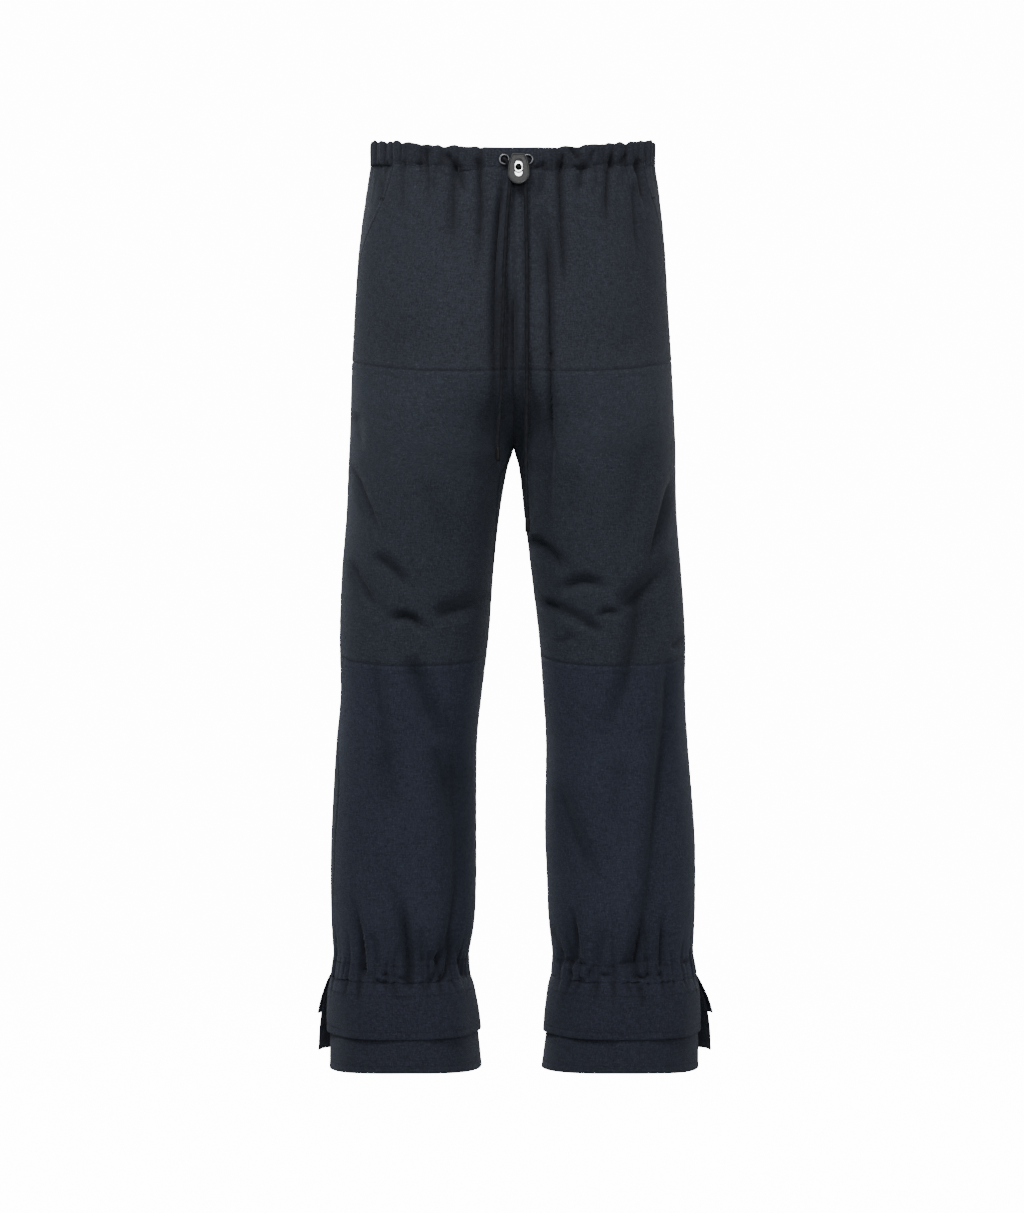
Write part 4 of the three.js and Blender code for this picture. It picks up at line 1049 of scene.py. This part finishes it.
class Finish:
    """One material: its shader's constants, and any node by type, inputs and settings."""

    def __init__(self, name, colour, roughness, **constants):
        self.material = bpy.data.materials.new(name)
        self.material.use_nodes = True
        self.tree = self.material.node_tree
        self.shader = self.tree.nodes["Principled BSDF"]
        self.feed("Base Color", (*colour, 1))
        self.feed("Roughness", roughness)
        for socket, given in constants.items():
            self.feed(socket.replace("_", " "), given)

    def feed(self, socket, given):
        put(self.tree, self.shader.inputs[socket], given)

    def node(self, kind, inputs=None, output=0, stops=None, **settings):
        node = self.tree.nodes.new("ShaderNode" + kind)
        for name, setting in settings.items():
            setattr(node, name, setting)
        if stops:
            ramp = node.color_ramp
            while len(ramp.elements) < len(stops):
                ramp.elements.new(0.5)
            for element, (position, colour) in zip(ramp.elements, stops):
                element.position, element.color = position, (*colour, 1)
        for place, given in (inputs or {}).items():
            put(self.tree, node.inputs[place], given)
        return Signal(self.tree, node.outputs[output])

    def place(self, x, y, z=0.0):
        return self.node("CombineXYZ", {"X": x, "Y": y, "Z": z})

    def noise(self, vector, scale, detail=2.0, roughness=0.5):
        return self.node("TexNoise", {"Vector": vector, "Scale": scale, "Detail": detail,
                                      "Roughness": roughness})

    def grain(self, scale, detail=2.0):
        """Unevenness by the place on the object."""
        return self.noise(self.node("TexCoord", output=3), scale, detail)

    def threads(self, vector):
        return self.noise(vector, 1.0, 1.0)

    def map_axes(self, name):
        place = self.node("UVMap", uv_map=name)
        return (self.node("SeparateXYZ", {"Vector": place}, output=axis) for axis in (0, 1))

    def amount(self, name):
        return self.node("Attribute", output=2, attribute_name=name)

    def ramp(self, signal, low, high):
        return self.node("MapRange", {"Value": signal, "From Min": low, "From Max": high},
                         clamp=True)

    def mix(self, share, first, second):
        first, second = (c if isinstance(c, Signal) else (*c, 1) for c in (first, second))
        return self.node("Mix", {0: share, 6: first, 7: second}, output=2, data_type="RGBA")

    def bump(self, height, strength, distance):
        self.feed("Normal", self.node("Bump", {"Height": height, "Strength": strength,
                                               "Distance": distance}))

    def give(self, *pieces):
        for piece in pieces:
            piece.data.materials.clear()
            piece.data.materials.append(self.material)


# Painted shade: how dark a crease and a seam make the wool, as the share of a darker tone mixed
# into its colour.
CREASE_SHADE, SEAM_SHADE = 0.72, 0.35
# The weave: a thread's width in metres, how unlike its neighbour it is, how often in a metre its
# tone changes, and how often slubs come across and along the threads.
THREAD = 0.00052
UNLIKE = 7.31
TONE_CHANGES = 130
SLUBS_ACROSS, SLUBS_ALONG = 1050, 360


def shade_of(tone, share):
    return tuple(share * c for c in tone)


def wool(name, tone):
    """Light tropical wool: crossing threads of uneven tone, slubs, a faint nap, and painted shade
    in creases, along seams and between threads.
    """
    finish = Finish(name, tone, 0.82, Sheen_Weight=0.15, Sheen_Roughness=0.45,
                    Specular_IOR_Level=0.22, Sheen_Tint=(0.62, 0.70, 0.86, 1))
    u, v = finish.map_axes("weave")
    across, along = u * (1 / THREAD), v * (1 / THREAD)
    warp_place = finish.place(across.math("FLOOR") * UNLIKE, v * TONE_CHANGES)
    weft_place = finish.place(u * TONE_CHANGES, along.math("FLOOR") * UNLIKE + 40)
    warp_tone, weft_tone = finish.threads(warp_place), finish.threads(weft_place)
    warp_round = (across * math.pi).math("SINE")
    weft_round = (along * math.pi).math("SINE")
    over = finish.ramp(warp_round * weft_round, -0.25, 0.25)
    warp_high, weft_high = warp_round * warp_round, weft_round * weft_round
    slub_down = finish.threads(finish.place(u * SLUBS_ACROSS, v * SLUBS_ALONG + 9))
    slub_across = finish.threads(finish.place(u * SLUBS_ALONG + 5, v * SLUBS_ACROSS))
    cloud = finish.grain(9.0, 3.0)
    # Each thread's tone varies at random, and is halved toward its edges: painted shade between the
    # threads.
    warp_light = finish.ramp(warp_tone, 0.38, 0.66) * (warp_high * 0.5 + 0.5)
    weft_light = finish.ramp(weft_tone, 0.38, 0.66) * (weft_high * 0.5 + 0.5)
    threads = warp_light * over + weft_light * (1 - over)
    slubs = finish.ramp(slub_down, 0.55, 0.72) * 1.1 + finish.ramp(slub_across, 0.57, 0.74) * 0.7
    light = threads * 0.58 + slubs * 0.38 + finish.ramp(cloud, 0.3, 0.7) * 0.06
    pale = tuple(2.5 * c + 0.008 for c in tone)
    body = finish.mix(finish.ramp(light, 0.0, 1.0), shade_of(tone, 0.58), pale)
    # Painted shade: the colour darkens along seams and in creases, where shade would fall.
    shade = (finish.amount("seam") * SEAM_SHADE).math(
        "MAXIMUM", finish.amount("crease") * CREASE_SHADE)
    finish.feed("Base Color", finish.mix(shade, body, shade_of(tone, 0.35)))
    finish.bump(warp_high * over + weft_high * (1 - over) + slubs * 0.4, 0.45, 0.00025)
    return finish


def give_wool(pieces):
    # Every piece is the same wool: each tone is set lighter or darker to copy the light and shade
    # on that part, so these are painted light and shade.
    lit_and_shaded_tones = {
        "waist_casing": (0.0182, 0.0211, 0.0304),
        "front_hip": (0.0228, 0.0262, 0.0369),
        "front_thigh": (0.0223, 0.0271, 0.0388),
        "front_shin": (0.0206, 0.0254, 0.0428),
        "back_leg": (0.0218, 0.0263, 0.0382),
        "pocket_facing": (0.0215, 0.0260, 0.0350),
        "ankle_casing": (0.0182, 0.0218, 0.0375),
        "cuff_upper": (0.0168, 0.0196, 0.0338),
        "cuff_lower": (0.0178, 0.0207, 0.0340),
    }
    for kind, tone in lit_and_shaded_tones.items():
        wool("wool_" + kind, tone).give(*(pieces[kind, hand] for hand in SIDES))


# Strands round a cord each way, and their crossings in a metre.
BRAID_STRANDS, BRAID_CROSSINGS = 8, 420


def braid(name, tone):
    """A round braided cord: strands cross both ways round it, with painted shade in the grooves
    between them and a painted highlight on their crowns.
    """
    finish = Finish(name, tone, 0.7, Sheen_Weight=0.02, Sheen_Roughness=0.4,
                    Specular_IOR_Level=0.12)
    u, v = finish.map_axes("braid")
    u_turns, v_turns = u * BRAID_STRANDS, v * BRAID_CROSSINGS
    one, two = (u_turns + v_turns).math("FRACT"), (u_turns - v_turns).math("FRACT")
    strand_one = (one - 0.5) * (one - 0.5) * -4 + 1
    strand_two = (two - 0.5) * (two - 0.5) * -4 + 1
    height = strand_one.math("MAXIMUM", strand_two)
    worn = finish.ramp(finish.threads(finish.place(u * 3, v * TONE_CHANGES)), 0.3, 0.7)
    fleck = finish.ramp(strand_one, 0.55, 1.0) * (worn * 0.7 + 0.3)
    # Painted shade and highlight: the tone darkens in the grooves between strands and lightens on
    # their crowns.
    strands = finish.mix(height, shade_of(tone, 0.35), shade_of(tone, 1.8))
    finish.feed("Base Color", finish.mix(fleck * 0.8, strands, (0.040, 0.045, 0.054)))
    finish.bump(height, 0.7, 0.0004)
    return finish


def wool_thread():
    """Sewing thread, a shade darker than the cloth, with its twist as a fine unevenness."""
    finish = Finish("wool_thread", (0.006, 0.0075, 0.011), 0.7, Sheen_Weight=0.1,
                    Specular_IOR_Level=0.2)
    grain = finish.grain(2600.0, 1.0)
    tone = finish.mix(finish.ramp(grain, 0.3, 0.7), (0.005, 0.006, 0.009), (0.012, 0.0145, 0.020))
    finish.feed("Base Color", tone)
    finish.bump(grain, 0.3, 0.0002)
    return finish


def lock_plastic():
    """Moulded plastic with a satin grain, its tone and roughness uneven at random."""
    finish = Finish("moulded_plastic", (0.03, 0.031, 0.033), 0.42, Specular_IOR_Level=0.5)
    handling = finish.grain(120.0, 3.0)
    tone = finish.mix(finish.ramp(handling, 0.35, 0.7), (0.024, 0.025, 0.027),
                      (0.040, 0.041, 0.043))
    finish.feed("Base Color", tone)
    finish.feed("Roughness", finish.ramp(handling, 0.2, 0.8) * 0.16 + 0.32)
    finish.bump(finish.grain(1500.0), 0.16, 0.0002)
    return finish


def polished(name, tone, roughness):
    """Plated metal with faint polishing marks."""
    finish = Finish(name, tone, roughness, Metallic=1.0)
    marks = finish.grain(900.0, 3.0)
    finish.feed("Roughness", finish.ramp(marks, 0.3, 0.8) * 0.10 + roughness)
    finish.bump(marks, 0.05, 0.0001)
    return finish


def dipped_tip():
    """The dipped end of a cord: smooth and black, with the braid's faint unevenness under it."""
    finish = Finish("dipped_tip", (0.007, 0.007, 0.008), 0.4, Specular_IOR_Level=0.25)
    swell = finish.grain(700.0)
    finish.feed("Roughness", finish.ramp(swell, 0.3, 0.7) * 0.2 + 0.3)
    finish.bump(swell, 0.25, 0.0003)
    return finish


# Cords


def spline_points(route, spacing):
    """Evenly spaced points on a centripetal curve through the route, in millimetres."""
    p = np.asarray(route, float)
    p = np.concatenate(([2 * p[0] - p[1]], p, [2 * p[-1] - p[-2]]))
    fine = []
    for i in range(1, len(p) - 2):
        p0, p1, p2, p3 = p[i - 1 : i + 3]
        t0 = 0.0
        t1 = t0 + np.linalg.norm(p1 - p0) ** 0.5
        t2 = t1 + np.linalg.norm(p2 - p1) ** 0.5
        t3 = t2 + np.linalg.norm(p3 - p2) ** 0.5
        for t in np.linspace(t1, t2, 24, endpoint=False):
            a1 = (t1 - t) / (t1 - t0) * p0 + (t - t0) / (t1 - t0) * p1
            a2 = (t2 - t) / (t2 - t1) * p1 + (t - t1) / (t2 - t1) * p2
            a3 = (t3 - t) / (t3 - t2) * p2 + (t - t2) / (t3 - t2) * p3
            b1 = (t2 - t) / (t2 - t0) * a1 + (t - t0) / (t2 - t0) * a2
            b2 = (t3 - t) / (t3 - t1) * a2 + (t - t1) / (t3 - t1) * a3
            fine.append((t2 - t) / (t2 - t1) * b1 + (t - t1) / (t2 - t1) * b2)
    fine.append(p[-2])
    fine = np.array(fine)
    length = run_length(fine)
    steps = np.linspace(0, length[-1], round(length[-1] / spacing) + 1)
    return np.stack([np.interp(steps, length, fine[:, k]) for k in range(3)], -1), length[-1]


def round_tube(name, path, radius, sides):
    """A closed round tube along a path, with a map that runs round and along it."""
    tangent = np.gradient(path, axis=0)
    tangent /= np.linalg.norm(tangent, axis=1, keepdims=True)
    across = np.zeros_like(tangent)
    last = np.array((1.0, 0.0, 0.0))
    for i, ahead in enumerate(tangent):
        last = last - ahead * (last @ ahead)
        last /= np.linalg.norm(last)
        across[i] = last
    other = np.cross(tangent, across)
    turn = np.linspace(0, 2 * math.pi, sides + 1)
    ring = (np.cos(turn)[None, :, None] * across[:, None, :]
            + np.sin(turn)[None, :, None] * other[:, None, :])
    points = path[:, None, :] + np.reshape(radius, (-1, 1, 1)) * ring
    along = run_length(path)[:, None] * MM
    places = np.stack(np.broadcast_arrays(np.linspace(0, 1, sides + 1)[None, :], along), -1)
    piece = mapped_grid(name, points, "braid", places)
    weld(piece, True)
    smooth_shade(piece, 60)
    return piece


CORD_STEP = 1.6
# How far below the cord's end each ring of its dipped tip is, and its radius.
TIP_STEPS = (0, 0.15, 0.5, 1.2, 4, 8, 12, 14.0, 14.7, 15.0)
TIP_RADII = (1.9, 2.2, 2.4, 2.5, 2.5, 2.5, 2.45, 2.3, 1.9, 1.2)


def settle(piece, node, body="garment"):
    """Puts a piece in a solid's place and the body it rides on."""
    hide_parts(node)
    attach(piece, body)


TIP_UNDER = 0.2


def make_cords():
    cords = {}
    for hand, route in CORD_ROUTES.items():
        path, length = spline_points(route, CORD_STEP)
        cord = round_tube("drawcord_" + hand, path, CORD_RADIUS, 16)
        end = np.array(route[-1]) - (0, 0, TIP_UNDER)
        tip_path = end[None, :] - np.array(TIP_STEPS)[:, None] * np.array([0, 0, 1.0])
        tip = round_tube("cord_tip_piece_" + hand, tip_path, TIP_RADII, 20)
        settle(cord, "cord_" + hand)
        settle(tip, "cord_tip_" + hand)
        cords[hand] = (cord, tip)
    return cords


# Hardware: eyelets, and the cord lock with its chrome bezel and push button

CASING_FRONT = -96.13
SEAM_GAP = 0.3
EYELETS = {"left": 15.2, "right": -10.3}
EYELET = {"z": -16.4, "hole": 3.9, "barrel": 4.4, "flange": 5.9, "depth": 2.2, "lip": 0.9}
LOCK = {"x": 5.1, "top": -11.5, "low": -44.3, "width": 23.4, "top_width": 15, "thick": 8.4,
        "clear": 1.2, "rounding": 0.7, "corner": 2.0}
BEZEL = {"z": -27, "width": 9.6, "height": 19.2, "sunk": 1.8, "hole": 3.7, "play": 0.5,
         "under": 0.3}
BUTTON = {"z": -26.2, "radius": 3.3, "stem": 3.4, "dome": 1.5, "travel": 2, "spare": 1.2}
CHROME = {"width": 8.9, "height": 12.4, "z": -25.8, "step_z": -30.3, "gap": 0.8, "sunk": 0.2,
          "step_sunk": 0.9, "thick": 1.85, "step_thick": 1.15, "rounding": 0.6,
          "step_rounding": 0.5}
LOCK_FRONT = CASING_FRONT - EYELET["lip"] - LOCK["clear"] - LOCK["thick"]
# The raised rim of the lock: how far inwards and how far down each step goes.
RIM_STEPS = ((0.3, 0), (0.45, 0.4), (0.3, 0.2))
# The cords' play in the lock, and how many points of each cord's path lie in it or above it.
CORD_PLAY, IN_LOCK = 0.35, 42


def outline_plate(name, outline, front, thick):
    """A plate: a filled outline in x and z, pulled out towards the back by its thickness."""
    deselect()
    bpy.ops.mesh.primitive_circle_add(vertices=len(outline), radius=1, fill_type="NGON")
    piece = new_piece(name)
    for vertex, (x, z) in zip(piece.data.vertices, outline):
        vertex.co = (x * MM, front * MM, z * MM)
    edit(piece)
    bpy.ops.mesh.select_all(action="SELECT")
    bpy.ops.mesh.extrude_region_move(TRANSFORM_OT_translate={"value": (0, thick * MM, 0)})
    face_outwards()
    return piece


def start_picking(piece, kind):
    shape = edit(piece)
    bpy.ops.mesh.select_all(action="DESELECT")
    bpy.ops.mesh.select_mode(type=kind)
    return shape


def round_edges(piece, level, width, segments=4):
    """Rounds the edges of a plate that lie at this depth."""
    shape = start_picking(piece, "EDGE")
    for line in shape.edges:
        flat = all(abs(v.co.y - level * MM) < 1e-6 for v in line.verts)
        line.select = flat and any(abs(face.normal.y) < 0.5 for face in line.link_faces)
    bmesh.update_edit_mesh(piece.data)
    bpy.ops.mesh.bevel(offset=width * MM, segments=segments, affect="EDGES", profile=0.6)
    bpy.ops.object.mode_set(mode="OBJECT")


def raise_rim(piece, front, steps):
    """Insets a plate's front face and sinks its middle by steps, which leaves a raised rim."""
    shape = start_picking(piece, "FACE")
    for face in shape.faces:
        middle = face.calc_center_median()
        face.select = abs(middle.y - front * MM) < 1e-6 and face.normal.y < -0.9
    bmesh.update_edit_mesh(piece.data)
    for inwards, down in steps:
        bpy.ops.mesh.inset(thickness=inwards * MM, depth=-down * MM)
    bpy.ops.object.mode_set(mode="OBJECT")


def combine(piece, operation, *tools):
    for tool in tools:
        finish_modifier(piece, "BOOLEAN", object=tool, operation=operation, solver="EXACT")
        bpy.data.objects.remove(tool)


def turned_piece(name, profile, x, y, z, steps=56):
    """A closed profile of radius and depth, spun about an axis along Y."""
    deselect()
    bpy.ops.mesh.primitive_circle_add(vertices=len(profile), radius=1, fill_type="NOTHING")
    piece = new_piece(name)
    for vertex, (radius, depth) in zip(piece.data.vertices, profile):
        vertex.co = ((x + radius) * MM, (y + depth) * MM, z * MM)
    edit(piece)
    bpy.ops.mesh.select_all(action="SELECT")
    bpy.ops.mesh.spin(steps=steps, angle=2 * math.pi, center=(x * MM, y * MM, z * MM),
                      axis=(0, 1, 0))
    bpy.ops.mesh.select_all(action="SELECT")
    bpy.ops.mesh.remove_doubles(threshold=2 * MERGE)
    bpy.ops.mesh.dissolve_degenerate(threshold=MERGE / 2)
    face_outwards()
    smooth_shade(piece, 38)
    return piece


def bore(radius, front, back, steps):
    """A plug in the shape of the button's bore, between two depths."""
    profile = [(0, front), (radius, front), (radius, back), (0, back)]
    return turned_piece("bore", profile, LOCK["x"], LOCK_FRONT, BUTTON["z"], steps)


def arc(radius, centre_x, centre_z, start, end, count):
    turn = np.radians(np.linspace(start, end, count))
    return [(centre_x + radius * math.cos(t), centre_z + radius * math.sin(t)) for t in turn]


def oblong(width, height, z, count=20):
    """An outline with two straight sides and round ends."""
    r, straight = width / 2, (height - width) / 2
    return (arc(r, LOCK["x"], z + straight, 0, 180, count)
            + arc(r, LOCK["x"], z - straight, 180, 360, count))


def tongue():
    """The lock's outline: narrow and round-cornered above, wide and round below."""
    r, corner = LOCK["width"] / 2, LOCK["corner"]
    x, centre, half_top = LOCK["x"], LOCK["low"] + LOCK["width"] / 2, LOCK["top_width"] / 2
    top = arc(corner, x - half_top + corner, LOCK["top"] - corner, 90, 176, 6)
    t = np.linspace(0, 1, 13)[1:-1]
    start, bend, stop = top[-1], (x - r + 0.4, centre + 12), (x - r, centre)
    side = [tuple((1 - a) ** 2 * s + 2 * a * (1 - a) * h + a * a * e
                  for s, h, e in zip(start, bend, stop)) for a in t]
    low = arc(r, x, centre, 180, 270, 20)
    half = top + side + low
    return half + [(2 * x - px, pz) for px, pz in reversed(half[:-1])]


def make_lock():
    back = LOCK_FRONT + LOCK["thick"]
    body = outline_plate("lock_tongue", tongue(), LOCK_FRONT, LOCK["thick"])
    for level in (LOCK_FRONT, back):
        round_edges(body, level, LOCK["rounding"])
    raise_rim(body, LOCK_FRONT, RIM_STEPS)
    routes = [spline_points(CORD_ROUTES[hand], CORD_STEP)[0][:IN_LOCK] for hand in SIDES]
    channels = [round_tube("channel", path, CORD_RADIUS + CORD_PLAY, 16) for path in routes]
    hole = oblong(BEZEL["width"] + BEZEL["play"], BEZEL["height"] + BEZEL["play"], BEZEL["z"])
    recess = outline_plate("recess", hole, LOCK_FRONT - 1, 1 + BEZEL["sunk"] + BEZEL["under"])
    deep = BUTTON["stem"] + BUTTON["travel"] + BUTTON["spare"]
    combine(body, "DIFFERENCE", recess, bore(BEZEL["hole"], -1, deep, 36), *channels)
    smooth_shade(body, 32)

    wide, high, gap = CHROME["width"], CHROME["height"], 2 * CHROME["gap"]
    ring_front, step_front = LOCK_FRONT + CHROME["sunk"], LOCK_FRONT + CHROME["step_sunk"]
    ring = outline_plate("lock_chrome", oblong(wide, high, CHROME["z"]), ring_front,
                         CHROME["thick"])
    round_edges(ring, ring_front, CHROME["rounding"], 6)
    step = outline_plate("lock_chrome_step", oblong(wide, high, CHROME["step_z"]), step_front,
                         CHROME["step_thick"])
    round_edges(step, step_front, CHROME["step_rounding"], 5)
    around_ring = oblong(wide + gap, high + gap, CHROME["z"])
    combine(step, "DIFFERENCE", outline_plate("gap", around_ring, LOCK_FRONT, 4))
    combine(ring, "UNION", step)
    combine(ring, "DIFFERENCE", bore(BEZEL["hole"], -3, 3, 48))
    smooth_shade(ring, 40)

    r, dome, stem = BUTTON["radius"], BUTTON["dome"], BUTTON["stem"]
    cap = [(r * math.sin(t), -dome * math.cos(t)) for t in np.radians(np.linspace(0, 90, 12))]
    profile = cap + [(r, 1.2), (r, stem - 0.3), (r - 0.3, stem), (0, stem)]
    button = turned_piece("lock_push_button", profile, LOCK["x"], LOCK_FRONT, BUTTON["z"], 48)
    return body, ring, button


def make_eyelet(hand):
    z, hole, barrel, flange, depth, lip = EYELET.values()
    turn = np.radians(np.linspace(180, 0, 12))
    rim = [((hole + flange) / 2 + (flange - hole) / 2 * math.cos(t), -lip * math.sin(t))
           for t in turn]
    profile = [(hole, depth)] + rim + [(barrel, 0.05), (barrel, depth)]
    front = CASING_FRONT - SEAM_GAP
    return turned_piece("casing_eyelet_" + hand, profile, EYELETS[hand], front, z, 48)


# Sewing: short threads of the cloth's own colour, a little darker

STITCH = {"length": 2.1, "pitch": 2.9, "radius": 0.3}
TACK = {"length": 1.5, "pitch": 1.1}
SECOND_ROW = -924
# Where round the leg the upper flounce's second row has its short jog, in degrees, and its size.
JOG_AT, JOG = 172, 1.4


# How far before and after a stitch's middle its direction is taken.
LOOK_AHEAD = 0.7


def sewn_row(name, lines):
    """Stitches along lines of points that lie on the cloth, as one piece."""
    deselect()
    bpy.ops.mesh.primitive_uv_sphere_add(segments=6, ring_count=4, radius=1)
    one = bpy.context.object
    corners = np.array([tuple(vertex.co) for vertex in one.data.vertices])
    faces = [tuple(face.vertices) for face in one.data.polygons]
    points, polygons = [], []
    for line, pitch, length in lines:
        along = run_length(line)
        middles = np.arange(pitch / 2, along[-1], pitch)
        centre, ahead, behind = (
            np.stack([np.interp(middles + shift, along, line[:, k]) for k in range(3)], -1)
            for shift in (0, LOOK_AHEAD, -LOOK_AHEAD))
        tangent = ahead - behind
        tangent /= np.maximum(1e-6, np.linalg.norm(tangent, axis=1, keepdims=True))
        across = np.cross(tangent, (0.3, 0.5, 0.81))
        across /= np.linalg.norm(across, axis=1, keepdims=True)
        other = np.cross(tangent, across)
        for c, t, a, o in zip(centre, tangent, across, other):
            base = len(points) * len(corners)
            points.append(c + STITCH["radius"] * (corners[:, :1] * a + corners[:, 1:2] * o)
                          + length / 2 * corners[:, 2:] * t)
            polygons.extend(tuple(base + i for i in face) for face in faces)
    bpy.data.objects.remove(one)
    mesh = bpy.data.meshes.new(name)
    mesh.from_pydata((np.concatenate(points) * MM).tolist(), [], polygons)
    piece = bpy.data.objects.new(name, mesh)
    bpy.context.scene.collection.objects.link(piece)
    smooth_shade(piece, 80)
    return piece


def a_degree(side, angle, z):
    """The width of one degree round the hip, in millimetres."""
    return np.linalg.norm(base_point(side, angle + 1, z) - base_point(side, angle, z), axis=-1)


def bar_tack(side, level, edge):
    z = np.full(9, float(level))
    reach = np.linspace(-1.5, 7.5, 9) / a_degree(side, edge(z), z)
    return [(cloth_point(side, edge(z) + reach, z + row, 0.25), TACK["pitch"], TACK["length"])
            for row in np.linspace(-0.8, 0.8, 5)]


def make_sewing(hand):
    """Every row of stitches on one side, grouped by the piece it holds."""
    side = SIDES[hand]

    def plain(*lines):
        return [(line, STITCH["pitch"], STITCH["length"]) for line in lines]

    def flounce_row(tier, z, inwards):
        return flounce_surface(hand, tier, angles, z + 0 * angles, inwards)

    around, turn = np.linspace(0.004, 0.996, 700), np.linspace(0, 1, 620)
    angles = np.linspace(SLIT["front"] + 2, SLIT["back"] - 2, 620)
    jog = JOG * smooth((angles - JOG_AT) / 1.5)
    z = np.linspace(-10, MOUTH_LOW + 4, 320)
    edge = mouth(hand, z)
    beside = edge + POCKET_STITCH / a_degree(side, edge, z)
    tacks = [row for level in BAR_TACKS for row in bar_tack(side, level, lambda z: mouth(hand, z))]
    rows = {
        "waist_stitches": plain(waist_casing_surface(hand, around, 0.5, 0.14, 0.85)[0]),
        "ankle_stitches": plain(*(ankle_casing_surface(hand, turn, out, up, 0.8)[0]
                                  for out, up in ((1.45, 0.16), (0.6, 0.82)))),
        "tier_upper_stitches": plain(flounce_row("upper", SECOND_ROW - jog, -0.12),
                                     flounce_row("upper", UPPER_HEM + HEM_TURNED, 0.25)),
        "tier_lower_stitches": plain(flounce_row("lower", LOWER_HEM + HEM_TURNED, 0.25)),
        "pocket_stitches": plain(cloth_point(side, beside, z, -0.25)) + tacks,
    }
    return {name: sewn_row(f"{name}_{hand}", lines) for name, lines in rows.items()}


make_camera()
cords = make_cords()
studio = make_studio()

pieces, sewing = {}, {}
for hand in SIDES:
    for kind, piece in make_panels(hand).items():
        pieces[kind, hand] = piece
    for kind in ("waist", "ankle"):
        pieces[kind + "_casing", hand] = make_casing(hand, kind)
    for tier in FLOUNCES:
        pieces["cuff_" + tier, hand] = make_flounce(hand, tier)
    for name, piece in make_sewing(hand).items():
        sewing[name, hand] = piece

give_wool(pieces)
thread = wool_thread()
for (name, hand), piece in sewing.items():
    thread.give(piece)
    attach(piece, "garment")
for (kind, hand), piece in pieces.items():
    settle(piece, f"{kind}_{hand}")

body, chrome, button = make_lock()
eyelets = {hand: make_eyelet(hand) for hand in SIDES}
settle(body, "lock_body")
settle(chrome, "lock_bezel")
settle(button, "lock_button", "button")
for hand, piece in eyelets.items():
    settle(piece, "eyelet_" + hand)

lock_plastic().give(body)
polished("chrome_plating", (0.72, 0.73, 0.75), 0.09).give(chrome)
polished("dark_metal", (0.21, 0.215, 0.225), 0.26).give(*eyelets.values())
Finish("button_gloss", (0.002, 0.002, 0.0022), 0.16, Specular_IOR_Level=0.1).give(button)
braid("black_braid", (0.0032, 0.0040, 0.0064)).give(*(cord for cord, tip in cords.values()))
dipped_tip().give(*(tip for cord, tip in cords.values()))
paper = Finish("pale_studio", (0.9, 0.9, 0.9), 0.9, Emission_Color=(1, 1, 1, 1),
               Emission_Strength=14.0)
paper.give(studio)
